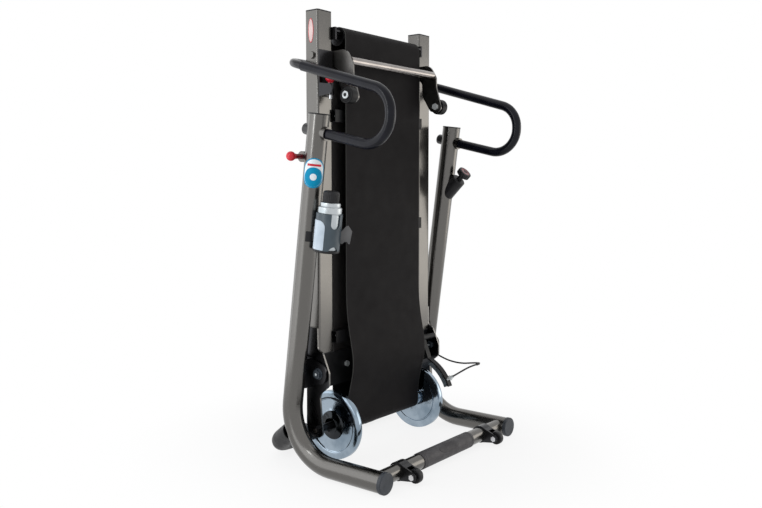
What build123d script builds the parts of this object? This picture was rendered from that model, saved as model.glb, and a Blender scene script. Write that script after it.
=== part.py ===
from build123d import *
import os
from math import cos, radians, sin, sqrt

os.makedirs("parts", exist_ok=True)

# Folding manual treadmill in its folded pose. Millimetres.
# X runs to the user's right, Y forward, Z up; the floor is Z = 0.
# Y = 0 is the underside face of the deck rails, which stand upright when folded.

# Driving dimensions of the standing frame
tube_radius = 25.0
tube_wall = 2.5
leg_z = 25.2
upright_top_y = -45.4
upright_top_z = 864.0
upright_corner_y = 66.8
upright_bend = 126.0
leg_end_y = -236.0
foot_cap_radius = 26.2
foot_cap_end_y = -246.0
foot_plug = 20.0
top_cap_height = 3.0
crossbar_radius = 19.0
crossbar_wall = 2.0
crossbar_y = -214.0
sleeve_radius = 22.0
sleeve_half_length = 112.0
stabiliser_start_y = 50.0
stabiliser_start_z = 94.5
stabiliser_inset = 48.0
stabiliser_y = 157.0
stabiliser_z = 27.0
stabiliser_bend = 87.0
stabiliser_foot_x = 120.0
stabiliser_foot_length = 36.0
stabiliser_foot_radius = 29.0

# Driving dimensions of the handlebar
handle_radius = 10.0
handle_wall = 1.8
grip_radius = 12.2
handle_root_z = 825.0
handle_low_slope = 0.232
handle_high_slope = 0.295
handle_rear_y = -255.0
handle_high_z = 903.6
handle_front_y = 61.0
handle_u_bend = 62.0
handle_corner_bend = 45.0
grip_start = 34.0
grip_end_y = 6.0
socket_radius = 16.0
socket_reach = 33.0
plug_radius = 14.0
plug_reach = 42.0
handle_end_reach = 34.0

# Driving dimensions of the folding deck
rail_width = 52.0
rail_depth = 41.0
rail_wall = 2.0
rail_corner = 5.0
rail_bottom = 285.0
rail_top = 1117.0
rail_room = 24.0
upright_room = 46.0
rail_cap = 3.0
side_plate = 5.0
pivot_y = -6.0
pivot_z = 238.0
pivot_bolt_radius = 6.0
pivot_play = 0.05
side_play = 0.4
plate_gap = 1.0
bracket_plate = 6.0
roller_radius = 22.0
roller_wall = 3.0
roller_half = 158.0
roller_plug = 15.0
roller_y = 4.0
front_roller_z = 94.0
rear_roller_drop = 53.0
axle_radius = 6.0
bearing_radius = 14.0
bearing_width = 10.0
belt_margin = 3.0
belt_thickness = 2.0
belt_clearance = 0.4
board_overhang = 12.0
board_front = 25.4
board_thickness = 15.0
board_bottom = 200.0
board_drop = 127.0
end_plate = 5.0
end_plate_height = 86.0
end_plate_gap = 4.0
end_bolt_x = 127.0
end_bolt_z = 243.0
end_bolt_head = 6.0
end_bolt_flats = 13.0
end_bolt_grip = 10.0
member_depth = 20.0
member_height = 30.0
member_wall = 2.0
member_inset = 120.0
screw_inset = 7.0
screw_radius = 3.0
flywheel_gap = 11.0
flywheel_width = 18.0
flywheel_radius = 88.0
flywheel_hub_radius = 20.0
flywheel_hub_step = 4.0

# Driving dimensions of the incline leg and its lock
leg_pivot_y = 18.0
leg_pivot_drop = 105.0
leg_plate = 5.0
leg_plate_room = 3.5
leg_bolt_radius = 5.0
leg_rod_y = -50.0
leg_rod_drop = 12.0
leg_rod_radius = 10.0
leg_wheel_y = -62.0
leg_wheel_drop = 97.0
leg_wheel_radius = 20.5
leg_wheel_gap = 2.0
leg_wheel_width = 23.0
incline_pin_inset = 18.0
incline_pin_y = -24.0
incline_pin_radius = 4.0
incline_ball_rise = 44.0
incline_ball_radius = 12.0
incline_bracket_drop = 99.0
incline_bracket_height = 112.0
incline_bracket_inset = 2.0
incline_bracket_plate = 3.0
incline_flange_height = 33.0
incline_barrel_radius = 9.0
incline_barrel_low = 3.0
incline_barrel_high = 31.0

# Driving dimensions of the lock pin, tension control, brake and bottle
lock_y = 12.0
lock_z = 768.0
lock_pin_radius = 6.0
lock_ball_reach = 36.0
lock_ball_radius = 11.5
lock_housing_radius = 13.0
lock_housing_reach = 0.0
lock_housing_gap = 9.0
lock_pin_gap = 2.0
pin_play = 0.05
tension_end_y = -72.0
tension_end_z = 717.0
tension_axis = (0.0, -1.0, 1.0)
tension_radius = 20.0
tension_length = 75.0
knob_radius = 20.0
knob_length = 15.0
knob_gap = 15.0
knob_neck_radius = 8.0
knob_neck_gap = 0.5
brake_pivot_y = -17.0
brake_pivot_z = 267.0
brake_inset = 0.5
brake_thickness = 4.0
brake_stud_radius = 5.0
shoe_gap = 5.0
shoe_thickness = 7.0
magnet_width = 18.0
bottle_offset = 62.0
bottle_bottom_z = 548.0
bottle_radius = 28.0
bottle_play = 0.4
cage_wall = 3.0
wheel_inset = 94.0
wheel_y = -259.0
wheel_z = 21.0
wheel_radius = 17.5
wheel_half_width = 8.0
wheel_bolt_radius = 4.0
ear_gap = 2.5
ear_thickness = 4.0
cable_radius = 2.3
grommet_gap = 0.8

# Positions across the width, from the roller outwards
belt_half = roller_half - belt_margin
board_half = roller_half + board_overhang
screw_x = board_half - screw_inset
flywheel_inner = roller_half + flywheel_gap
flywheel_outer = flywheel_inner + flywheel_width
flywheel_hub_end = flywheel_outer + flywheel_hub_step
brake_inner = flywheel_inner + brake_inset
brake_outer = flywheel_outer - brake_inset
rail_inner = roller_half + rail_room
rail_outer = rail_inner + rail_width
leg_plate_outer = rail_inner - leg_plate_room
leg_plate_inner = leg_plate_outer - leg_plate
leg_wheel_inner = leg_plate_outer + leg_wheel_gap
leg_wheel_outer = leg_wheel_inner + leg_wheel_width
incline_pin_x = -rail_outer + incline_pin_inset
upright_x = rail_outer + upright_room
stabiliser_x = upright_x - stabiliser_inset
wheel_x = upright_x - wheel_inset
bottle_x = -upright_x
lock_pin_tip = -rail_outer - lock_pin_gap
lock_housing_inner = -rail_outer - lock_housing_gap
lock_housing_outer = -upright_x - lock_housing_reach
lock_ball_x = -upright_x - lock_ball_reach

# Heights on the deck, from its top end downwards
rear_roller_z = rail_top - rear_roller_drop
leg_pivot_z = rail_top - leg_pivot_drop
leg_rod_z = leg_pivot_z - leg_rod_drop
leg_wheel_z = leg_pivot_z - leg_wheel_drop
board_top = rail_top - board_drop
end_plate_high = rail_bottom - end_plate_gap
end_plate_heights = (end_plate_high - end_plate_height, end_plate_high)
lowest_member = board_bottom + member_inset
highest_member = board_top - member_inset
member_heights = (lowest_member, (lowest_member + highest_member) / 2, highest_member)

# Directions shared by several pieces
lean = (upright_corner_y - upright_top_y) / (upright_top_z - leg_z)
upright_axis = Vector(0, -lean, 1).normalized()
handle_axis = Vector(0, -1, -handle_low_slope).normalized()
SIDES = (("left", -1), ("right", 1))


def upright_y(z):
    """Forward position of the upright's centre line at a height on its straight part."""
    return upright_corner_y - (z - leg_z) * lean


def finish(builder, name):
    builder.part.label = name
    export_step(builder.part, f"parts/{name}.step")


def rod(start, axis, length, radius, mode=Mode.ADD):
    with BuildSketch(Plane(origin=start, z_dir=axis)) as section:
        Circle(radius)
    extrude(section.sketch, amount=length, mode=mode)


def ring(start, axis, length, outer, inner):
    with BuildSketch(Plane(origin=start, z_dir=axis)) as section:
        Circle(outer)
        Circle(inner, mode=Mode.SUBTRACT)
    extrude(section.sketch, amount=length)


def hexagon(start, axis, length, flats, bore=0.0):
    with BuildSketch(Plane(origin=start, z_dir=axis)) as section:
        RegularPolygon(radius=flats / sqrt(3), side_count=6)
        if bore:
            Circle(bore, mode=Mode.SUBTRACT)
    extrude(section.sketch, amount=length)


def block(x, y, z, mode=Mode.ADD):
    """Box between three pairs of limits."""
    with BuildSketch(Plane.XY.offset(min(z))) as section:
        with Locations(((x[0] + x[1]) / 2, (y[0] + y[1]) / 2)):
            Rectangle(abs(x[1] - x[0]), abs(y[1] - y[0]))
    extrude(section.sketch, amount=abs(z[1] - z[0]), mode=mode)


def bent_tube(points, bends, outer, inner=0.0, mode=Mode.ADD):
    with BuildLine() as route:
        FilletPolyline(*points, radius=bends)
    with BuildSketch(Plane(origin=route.line @ 0, z_dir=route.line % 0)) as section:
        Circle(outer)
        if inner:
            Circle(inner, mode=Mode.SUBTRACT)
    sweep(section.sketch, path=route.line, mode=mode)


def upright_points(sign):
    x = sign * upright_x
    return [(x, upright_top_y, upright_top_z), (x, upright_corner_y, leg_z), (x, leg_end_y, leg_z)]


def cut_upright(sign):
    """Remove the space the upright tube takes up from the piece being built."""
    bent_tube(upright_points(sign), upright_bend, tube_radius, mode=Mode.SUBTRACT)


def side_x(sign, near, far):
    """Lower X limit and width of a slab lying between two distances from the mid-plane."""
    return min(sign * near, sign * far), abs(far - near)


def handle_root(sign):
    return Vector(sign * upright_x, upright_y(handle_root_z), handle_root_z)


handle_low_z = handle_root_z - (upright_y(handle_root_z) - handle_rear_y) * handle_low_slope


# Upright tubes, with the holes the handlebar passes through
for side, sign in SIDES:
    with BuildPart() as upright:
        bent_tube(upright_points(sign), upright_bend, tube_radius, tube_radius - tube_wall)
        hole_start = handle_root(sign) - handle_axis * (plug_reach + 10)
        rod(hole_start, handle_axis, 2 * (plug_reach + 10), handle_radius, Mode.SUBTRACT)
    finish(upright, f"upright_{side}")

with BuildPart() as upright_top_caps:
    for side, sign in SIDES:
        top_plane = Plane(origin=(sign * upright_x, upright_top_y, upright_top_z), z_dir=upright_axis)
        with BuildSketch(top_plane):
            Circle(tube_radius + 0.6)
        extrude(amount=top_cap_height, taper=12)
        with BuildSketch(top_plane):
            Circle(tube_radius - tube_wall)
        extrude(amount=-15)
finish(upright_top_caps, "upright_top_caps")

# Rear crossbar between the legs and its step sleeve
with BuildPart() as rear_crossbar:
    bar_start = (-upright_x, crossbar_y, leg_z)
    ring(bar_start, (1, 0, 0), 2 * upright_x, crossbar_radius, crossbar_radius - crossbar_wall)
    for side, sign in SIDES:
        leg_start = (sign * upright_x, crossbar_y - tube_radius, leg_z)
        rod(leg_start, (0, 1, 0), 2 * tube_radius, tube_radius, Mode.SUBTRACT)
finish(rear_crossbar, "rear_crossbar")

with BuildPart() as step_sleeve:
    sleeve_start = (-sleeve_half_length, crossbar_y, leg_z)
    ring(sleeve_start, (1, 0, 0), 2 * sleeve_half_length, sleeve_radius, crossbar_radius)
    sleeve_rims = step_sleeve.edges().filter_by(GeomType.CIRCLE).sort_by(SortBy.RADIUS)[-2:]
    fillet(sleeve_rims, radius=1.5)
finish(step_sleeve, "step_sleeve")

# Front stabiliser: one U-shaped tube coped onto both uprights
with BuildPart() as front_stabiliser:
    stabiliser_points = [
        (-upright_x, stabiliser_start_y, stabiliser_start_z),
        (-stabiliser_x, stabiliser_y, stabiliser_z),
        (stabiliser_x, stabiliser_y, stabiliser_z),
        (upright_x, stabiliser_start_y, stabiliser_start_z),
    ]
    bent_tube(stabiliser_points, stabiliser_bend, tube_radius, tube_radius - tube_wall)
    for side, sign in SIDES:
        cut_upright(sign)
    kept = front_stabiliser.part.solids().sort_by(SortBy.VOLUME)[-1]
    add(kept, mode=Mode.REPLACE)
finish(front_stabiliser, "front_stabiliser")

# Rubber feet: caps on the leg ends and bands on the stabiliser, all cut flat at the floor
with BuildPart() as rubber_feet:
    for side, sign in SIDES:
        x = sign * upright_x
        rod((x, foot_cap_end_y, leg_z), (0, 1, 0), leg_end_y - foot_cap_end_y, foot_cap_radius)
    rims = rubber_feet.edges().filter_by(GeomType.CIRCLE).group_by(Axis.Y)[0]
    fillet(rims, radius=2.5)
    for side, sign in SIDES:
        rod((sign * upright_x, leg_end_y, leg_z), (0, 1, 0), foot_plug, tube_radius - tube_wall)
        foot_start, foot_length = side_x(sign, stabiliser_foot_x, stabiliser_foot_x + stabiliser_foot_length)
        pad_centre = (foot_start, stabiliser_y, stabiliser_z)
        ring(pad_centre, (1, 0, 0), foot_length, stabiliser_foot_radius, tube_radius)
    below = 2 * upright_x
    block((-below, below), (-below, below), (-stabiliser_foot_radius, 0), Mode.SUBTRACT)
finish(rubber_feet, "rubber_feet")

# Handlebar: one tube from the left upright around the front to the right upright
def handle_points(sign):
    x = sign * upright_x
    return [
        handle_root(sign) - handle_axis * handle_end_reach,
        (x, handle_rear_y, handle_low_z),
        (x, handle_rear_y, handle_high_z),
        (x, handle_front_y, handle_high_z + (handle_front_y - handle_rear_y) * handle_high_slope),
    ]


with BuildPart() as handlebar:
    bar_points = handle_points(-1) + handle_points(1)[::-1]
    bar_bends = [handle_u_bend, handle_u_bend, handle_corner_bend]
    bent_tube(bar_points, bar_bends + bar_bends[::-1], handle_radius, handle_radius - handle_wall)
finish(handlebar, "handlebar")

with BuildPart() as grips:
    for side, sign in SIDES:
        x = sign * upright_x
        grip_top = handle_high_z + (grip_end_y - handle_rear_y) * handle_high_slope
        grip_points = [
            handle_root(sign) + handle_axis * grip_start,
            (x, handle_rear_y, handle_low_z),
            (x, handle_rear_y, handle_high_z),
            (x, grip_end_y, grip_top),
        ]
        bent_tube(grip_points, handle_u_bend, grip_radius, handle_radius)
finish(grips, "grips")

with BuildPart() as handle_sockets:
    for side, sign in SIDES:
        ring(handle_root(sign) + handle_axis * 8, handle_axis, socket_reach - 8, socket_radius, handle_radius)
    for side, sign in SIDES:
        cut_upright(sign)
finish(handle_sockets, "handle_sockets")

with BuildPart() as handle_plugs:
    for side, sign in SIDES:
        plug_end = handle_root(sign) - handle_axis * plug_reach
        rod(plug_end, handle_axis, plug_reach - 10, plug_radius)
    plug_rims = handle_plugs.edges().filter_by(GeomType.CIRCLE).group_by(Axis.Y)[-1]
    fillet(plug_rims, radius=6)
    for side, sign in SIDES:
        cut_upright(sign)
        rod(handle_root(sign) - handle_axis * handle_end_reach, handle_axis, 60, handle_radius, Mode.SUBTRACT)
finish(handle_plugs, "handle_plugs")

# Brackets that carry the deck pivots on the uprights
lug_outer = rail_outer + side_plate
bracket_inner = lug_outer + plate_gap
bracket_outer = bracket_inner + bracket_plate
nut_height = 8.0
washer_height = 1.5
washer_radius = 14.0
head_height = 8.0
head_gap = 0.5
gusset_rear = 14.0
gusset_front = 58.0

with BuildPart() as pivot_brackets:
    for side, sign in SIDES:
        low, width = side_x(sign, bracket_inner, bracket_outer)
        with BuildSketch(Plane.YZ.offset(low)):
            with BuildLine():
                FilletPolyline(
                    (pivot_y - 24, pivot_z + 22),
                    (pivot_y - 24, pivot_z - 22),
                    (upright_y(pivot_z) + 22, pivot_z - 40),
                    (upright_y(pivot_z) + 12, pivot_z + 44),
                    radius=[20, 20, 6, 6],
                    close=True,
                )
            make_face()
            with Locations((pivot_y, pivot_z)):
                Circle(pivot_bolt_radius, mode=Mode.SUBTRACT)
        extrude(amount=width)
        low, width = side_x(sign, bracket_outer, upright_x - 8)
        block((low, low + width), (gusset_rear, gusset_front), (pivot_z - 34, pivot_z + 38))
    for side, sign in SIDES:
        cut_upright(sign)
finish(pivot_brackets, "pivot_brackets")

with BuildPart() as pivot_bolts:
    for side, sign in SIDES:
        head_face = rail_outer - head_gap
        hexagon((sign * head_face, pivot_y, pivot_z), (-sign, 0, 0), head_height, 19)
        shank = bracket_outer + nut_height - head_face + 1
        rod((sign * head_face, pivot_y, pivot_z), (sign, 0, 0), shank, pivot_bolt_radius)
        nut_face = (sign * bracket_outer, pivot_y, pivot_z)
        rod(nut_face, (sign, 0, 0), washer_height, washer_radius)
        hexagon(nut_face, (sign, 0, 0), nut_height, 19)
finish(pivot_bolts, "pivot_bolts")

# Transport wheels on the crossbar
ear_inner = wheel_half_width + ear_gap
ear_outer = ear_inner + ear_thickness
strap = 4.0
ear_radius = 11.0

with BuildPart() as transport_brackets:
    for side, sign in SIDES:
        centre = sign * wheel_x
        with BuildSketch(Plane.YZ.offset(centre - ear_outer)):
            with Locations((crossbar_y, leg_z)):
                Circle(crossbar_radius + strap)
            with BuildLine():
                Polyline(
                    (crossbar_y, leg_z + crossbar_radius + strap),
                    (wheel_y, wheel_z + ear_radius),
                    (wheel_y, wheel_z - ear_radius),
                    (crossbar_y, leg_z - crossbar_radius - strap + 1),
                    close=True,
                )
            make_face()
            with Locations((wheel_y, wheel_z)):
                Circle(ear_radius)
        extrude(amount=2 * ear_outer)
        gap_y = (wheel_y - 40, wheel_y + wheel_radius + 2)
        block((centre - ear_inner, centre + ear_inner), gap_y, (-20, 80), Mode.SUBTRACT)
        rod((centre - 60, crossbar_y, leg_z), (1, 0, 0), 120, crossbar_radius, Mode.SUBTRACT)
        rod((centre - 60, wheel_y, wheel_z), (1, 0, 0), 120, wheel_bolt_radius, Mode.SUBTRACT)
finish(transport_brackets, "transport_brackets")

for side, sign in SIDES:
    with BuildPart() as transport_wheel:
        wheel_start = (sign * wheel_x - wheel_half_width, wheel_y, wheel_z)
        wheel_bore = wheel_bolt_radius + pivot_play
        ring(wheel_start, (1, 0, 0), 2 * wheel_half_width, wheel_radius, wheel_bore)
        tread = transport_wheel.edges().filter_by(GeomType.CIRCLE).sort_by(SortBy.RADIUS)[-2:]
        fillet(tread, radius=2.5)
    finish(transport_wheel, f"transport_wheel_{side}")

with BuildPart() as transport_bolts:
    for side, sign in SIDES:
        for end in (-1, 1):
            hexagon((sign * wheel_x + end * ear_outer, wheel_y, wheel_z), (end, 0, 0), 5, 13)
        rod((sign * wheel_x - ear_outer, wheel_y, wheel_z), (1, 0, 0), 2 * ear_outer, wheel_bolt_radius)
finish(transport_bolts, "transport_bolts")

# Deck rails: box tubes with rounded corners
for side, sign in SIDES:
    with BuildPart() as rail:
        rail_mid = sign * (rail_inner + rail_outer) / 2
        rail_width = rail_outer - rail_inner
        with BuildSketch(Plane.XY.offset(rail_bottom)):
            with Locations((rail_mid, rail_depth / 2)):
                RectangleRounded(rail_width, rail_depth, rail_corner)
                inside = 2 * rail_wall
                RectangleRounded(
                    rail_width - inside, rail_depth - inside, rail_corner - rail_wall, mode=Mode.SUBTRACT
                )
        extrude(amount=rail_top - rail_bottom)
        low, width = side_x(sign, rail_inner - 10, rail_outer + 10)
        rod((low, leg_pivot_y, leg_pivot_z), (1, 0, 0), width, leg_bolt_radius, Mode.SUBTRACT)
        if sign < 0:
            lock_hole = lock_pin_radius + 0.6
            rod((-rail_outer - 10, lock_y, lock_z), (1, 0, 0), 25, lock_hole, Mode.SUBTRACT)
    finish(rail, f"rail_{side}")

with BuildPart() as rail_end_caps:
    for side, sign in SIDES:
        rail_mid = sign * (rail_inner + rail_outer) / 2
        for face_z, step in ((rail_top, 1), (rail_bottom, -1)):
            with BuildSketch(Plane.XY.offset(face_z)):
                with Locations((rail_mid, rail_depth / 2)):
                    RectangleRounded(rail_outer - rail_inner, rail_depth, rail_corner)
            extrude(amount=step * rail_cap)
            with BuildSketch(Plane.XY.offset(face_z)):
                with Locations((rail_mid, rail_depth / 2)):
                    inside = 2 * rail_wall
                    RectangleRounded(
                        rail_outer - rail_inner - inside, rail_depth - inside, rail_corner - rail_wall
                    )
            extrude(amount=-step * 12)
finish(rail_end_caps, "rail_end_caps")

# Side plates that carry the deck pivot and the front axle
for side, sign in SIDES:
    with BuildPart() as lug:
        low, width = side_x(sign, rail_outer, lug_outer)
        with BuildSketch(Plane.YZ.offset(low)):
            with BuildLine():
                FilletPolyline(
                    (3, rail_bottom + 65),
                    (2, rail_bottom + 11),
                    (pivot_y - 8, pivot_z + 52),
                    (pivot_y - 29, pivot_z + 4),
                    (pivot_y - 29, pivot_z - 29),
                    (pivot_y + 2, pivot_z - 54),
                    (roller_y - 18, front_roller_z - 16),
                    (roller_y + 20, front_roller_z - 20),
                    (rail_depth - 1, front_roller_z + 6),
                    (rail_depth - 3, rail_bottom + 65),
                    radius=[4, 10, 12, 12, 14, 20, 12, 14, 18, 4],
                    close=True,
                )
            make_face()
            with Locations((pivot_y, pivot_z)):
                Circle(pivot_bolt_radius + pivot_play, mode=Mode.SUBTRACT)
            with Locations((roller_y, front_roller_z)):
                Circle(axle_radius, mode=Mode.SUBTRACT)
            if sign > 0:
                with Locations((brake_pivot_y, brake_pivot_z)):
                    Circle(brake_stud_radius, mode=Mode.SUBTRACT)
        extrude(amount=width)
    finish(lug, f"side_plate_{side}")

# Running board on its cross members, with the screws that hold it
board_back = board_front - board_thickness

with BuildPart() as running_board:
    block((-board_half, board_half), (board_back, board_front), (board_bottom, board_top))
    for z in member_heights:
        for side, sign in SIDES:
            rod((sign * screw_x, board_back - 5, z), (0, 1, 0), 40, screw_radius, Mode.SUBTRACT)
    for side, sign in SIDES:
        bolt_hole = (sign * end_bolt_x, board_back, end_bolt_z)
        rod(bolt_hole, (0, 1, 0), end_bolt_grip, screw_radius, Mode.SUBTRACT)
finish(running_board, "running_board")

with BuildPart() as cross_members:
    block((-rail_outer, rail_outer), (board_back - end_plate, board_back), end_plate_heights)
    for z in member_heights:
        heights = (z - member_height / 2, z + member_height / 2)
        block((-rail_inner, rail_inner), (board_back - member_depth, board_back), heights)
        inner_heights = (heights[0] + member_wall, heights[1] - member_wall)
        inner_depth = (board_back - member_depth + member_wall, board_back - member_wall)
        block((-rail_inner, rail_inner), inner_depth, inner_heights, Mode.SUBTRACT)
        for side, sign in SIDES:
            hole_start = (sign * screw_x, board_back - 8, z)
            rod(hole_start, (0, 1, 0), 20, screw_radius, Mode.SUBTRACT)
    for side, sign in SIDES:
        bolt_hole = (sign * end_bolt_x, board_back - end_plate, end_bolt_z)
        rod(bolt_hole, (0, 1, 0), end_plate, screw_radius, Mode.SUBTRACT)
finish(cross_members, "cross_members")

with BuildPart() as board_screws:
    for z in member_heights:
        for side, sign in SIDES:
            length = board_thickness + 6
            rod((sign * screw_x, board_front, z), (0, -1, 0), length, screw_radius)
    for side, sign in SIDES:
        head_seat = (sign * end_bolt_x, board_back - end_plate, end_bolt_z)
        hexagon(head_seat, (0, -1, 0), end_bolt_head, end_bolt_flats)
        rod(head_seat, (0, 1, 0), end_plate + end_bolt_grip, screw_radius)
finish(board_screws, "board_screws")

# Running belt: a loop over both rollers whose slack return run bows towards the rear
slack = [(-11.0, 325.0), (-22.0, 248.0), (-9.0, 178.0)]
slack_top = 440.0
slack_bottom = 120.0


def belt_outline(radius):
    """Closed outline of the loop at a distance from the roller centres."""
    front = roller_y + radius
    back = roller_y - radius
    bows = [(back + bow, z) for bow, z in slack]
    Line((front, front_roller_z), (front, rear_roller_z))
    ThreePointArc((front, rear_roller_z), (roller_y, rear_roller_z + radius), (back, rear_roller_z))
    Line((back, rear_roller_z), (back, slack_top))
    Spline((back, slack_top), *bows, (back, slack_bottom), tangents=[(0, -1), (0, -1)])
    Line((back, slack_bottom), (back, front_roller_z))
    ThreePointArc((back, front_roller_z), (roller_y, front_roller_z - radius), (front, front_roller_z))


with BuildPart() as running_belt:
    inner_radius = roller_radius + belt_clearance
    with BuildSketch(Plane.YZ.offset(-belt_half)):
        with BuildLine():
            belt_outline(inner_radius + belt_thickness)
        make_face()
        with BuildLine():
            belt_outline(inner_radius)
        make_face(mode=Mode.SUBTRACT)
    extrude(amount=2 * belt_half)
finish(running_belt, "running_belt")


# Rollers, axles and flywheels
def roller(centre_z):
    start = (-roller_half, roller_y, centre_z)
    rod(start, (1, 0, 0), 2 * roller_half, roller_radius)
    hollow = 2 * (roller_half - roller_plug)
    rod((-hollow / 2, roller_y, centre_z), (1, 0, 0), hollow, roller_radius - roller_wall, Mode.SUBTRACT)
    rod(start, (1, 0, 0), 2 * roller_half, bearing_radius, Mode.SUBTRACT)


def bearings(centre_z):
    for sign in (-1, 1):
        start = (sign * roller_half, roller_y, centre_z)
        ring(start, (-sign, 0, 0), bearing_width, bearing_radius, axle_radius + pivot_play)


with BuildPart() as front_roller_tube:
    roller(front_roller_z)
finish(front_roller_tube, "front_roller_tube")

with BuildPart() as front_bearings:
    bearings(front_roller_z)
finish(front_bearings, "front_bearings")

with BuildPart() as rear_roller_tube:
    roller(rear_roller_z)
finish(rear_roller_tube, "rear_roller_tube")

with BuildPart() as rear_bearings:
    bearings(rear_roller_z)
finish(rear_bearings, "rear_bearings")

for side, sign in SIDES:
    with BuildPart() as flywheel:
        hub_length = flywheel_hub_end - roller_half
        rod((sign * roller_half, roller_y, front_roller_z), (sign, 0, 0), hub_length, flywheel_hub_radius)
        rim_length = flywheel_outer - flywheel_inner
        rim_start = (sign * flywheel_inner, roller_y, front_roller_z)
        rod(rim_start, (sign, 0, 0), rim_length, flywheel_radius)
        rims = flywheel.edges().filter_by(GeomType.CIRCLE).sort_by(SortBy.RADIUS)[-2:]
        fillet(rims, radius=3)
        dish_start = (sign * flywheel_outer, roller_y, front_roller_z)
        with BuildSketch(Plane(origin=dish_start, z_dir=(-sign, 0, 0))):
            Circle(flywheel_radius * 0.78)
            Circle(flywheel_radius * 0.40, mode=Mode.SUBTRACT)
        extrude(amount=3, mode=Mode.SUBTRACT)
        bore_start = (sign * (roller_half - 5), roller_y, front_roller_z)
        rod(bore_start, (sign, 0, 0), hub_length + 20, axle_radius + 1.5, Mode.SUBTRACT)
    finish(flywheel, f"flywheel_{side}")

axle_reach = lug_outer + nut_height + 1

with BuildPart() as front_axle:
    rod((-axle_reach, roller_y, front_roller_z), (1, 0, 0), 2 * axle_reach, axle_radius)
finish(front_axle, "front_axle")

with BuildPart() as axle_nuts:
    for side, sign in SIDES:
        nut_start = (sign * lug_outer, roller_y, front_roller_z)
        hexagon(nut_start, (sign, 0, 0), nut_height, 18, axle_radius)
        spacer_start = (sign * (flywheel_hub_end + side_play), roller_y, front_roller_z)
        spacer_length = rail_outer - flywheel_hub_end - side_play
        ring(spacer_start, (sign, 0, 0), spacer_length, 10, axle_radius)
finish(axle_nuts, "axle_nuts")

rear_bracket_inner = rail_inner - 6.0
rear_bracket_depth = (roller_y - 14, roller_y + 14)
rear_bracket_low = rear_roller_z - 10
rear_bracket_high = rear_roller_z + 20
rear_shelf_low = rear_roller_z + 9
rear_shelf_high = rear_shelf_low + 4
adjuster_x = rear_bracket_inner - 6
adjuster_radius = 4.0

with BuildPart() as rear_axle:
    reach = rail_inner - 1
    rod((-reach, roller_y, rear_roller_z), (1, 0, 0), 2 * reach, axle_radius)
finish(rear_axle, "rear_axle")

with BuildPart() as rear_roller_brackets:
    for side, sign in SIDES:
        low, width = side_x(sign, rear_bracket_inner, rail_inner)
        block((low, low + width), rear_bracket_depth, (rear_bracket_low, rear_bracket_high))
        low, width = side_x(sign, rear_bracket_inner - 12, rail_inner)
        block((low, low + width), rear_bracket_depth, (rear_shelf_low, rear_shelf_high))
        axle_end = sign * (rail_inner - 1)
        rod((axle_end, roller_y, rear_roller_z), (-sign, 0, 0), roller_plug, axle_radius, Mode.SUBTRACT)
        bolt_start = (sign * adjuster_x, roller_y, rear_shelf_low - 1)
        rod(bolt_start, (0, 0, 1), 6, adjuster_radius, Mode.SUBTRACT)
finish(rear_roller_brackets, "rear_roller_brackets")

with BuildPart() as belt_adjusters:
    for side, sign in SIDES:
        hexagon((sign * adjuster_x, roller_y, rear_shelf_high), (0, 0, 1), 5, 11)
        tip_z = rear_roller_z + axle_radius + side_play
        rod((sign * adjuster_x, roller_y, tip_z), (0, 0, 1), rear_shelf_high - tip_z, adjuster_radius)
    for side, sign in SIDES:
        low, width = side_x(sign, rear_bracket_inner, rail_inner)
        clear = (rear_bracket_low, rear_bracket_high)
        block((low, low + width), rear_bracket_depth, clear, Mode.SUBTRACT)
finish(belt_adjusters, "belt_adjusters")


# Incline leg: two plates joined by a rod, a wheel on each plate
def leg_outline():
    FilletPolyline(
        (leg_pivot_y + 14, leg_pivot_z + 14),
        (leg_rod_y + 8, leg_rod_z + 28),
        (leg_rod_y - 13, leg_rod_z - 6),
        (leg_wheel_y - 2, leg_wheel_z + 52),
        (leg_wheel_y - 19, leg_wheel_z - 6),
        (leg_wheel_y - 5, leg_wheel_z - 18),
        (leg_wheel_y + 18, leg_wheel_z - 12),
        (leg_pivot_y - 36, leg_wheel_z + 30),
        (leg_pivot_y - 34, leg_pivot_z - 27),
        (leg_pivot_y + 14, leg_pivot_z - 14),
        radius=[13, 26, 20, 30, 10, 10, 10, 14, 14, 13],
        close=True,
    )


with BuildPart() as leg_plates:
    for side, sign in SIDES:
        low, width = side_x(sign, leg_plate_inner, leg_plate_outer)
        with BuildSketch(Plane.YZ.offset(low)):
            with BuildLine():
                leg_outline()
            make_face()
            with Locations((leg_pivot_y, leg_pivot_z)):
                Circle(leg_bolt_radius + pivot_play, mode=Mode.SUBTRACT)
            with Locations((leg_wheel_y, leg_wheel_z)):
                Circle(leg_bolt_radius, mode=Mode.SUBTRACT)
        extrude(amount=width)
finish(leg_plates, "leg_plates")

with BuildPart() as leg_rod:
    rod_start = (-leg_plate_inner, leg_rod_y, leg_rod_z)
    ring(rod_start, (1, 0, 0), 2 * leg_plate_inner, leg_rod_radius, leg_rod_radius - 2)
finish(leg_rod, "leg_rod")

with BuildPart() as leg_pivot_bolts:
    for side, sign in SIDES:
        bolt_head = (sign * rail_outer, leg_pivot_y, leg_pivot_z)
        hexagon(bolt_head, (sign, 0, 0), 5, 15)
        rod(bolt_head, (-sign, 0, 0), rail_outer - leg_plate_inner + 8, leg_bolt_radius)
        spacer_start = (sign * (leg_plate_outer + side_play), leg_pivot_y, leg_pivot_z)
        rod(spacer_start, (sign, 0, 0), rail_inner - leg_plate_outer - side_play, 9)
        nut_start = (sign * (leg_plate_inner - side_play), leg_pivot_y, leg_pivot_z)
        hexagon(nut_start, (-sign, 0, 0), 6, 15)
finish(leg_pivot_bolts, "leg_pivot_bolts")

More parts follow.
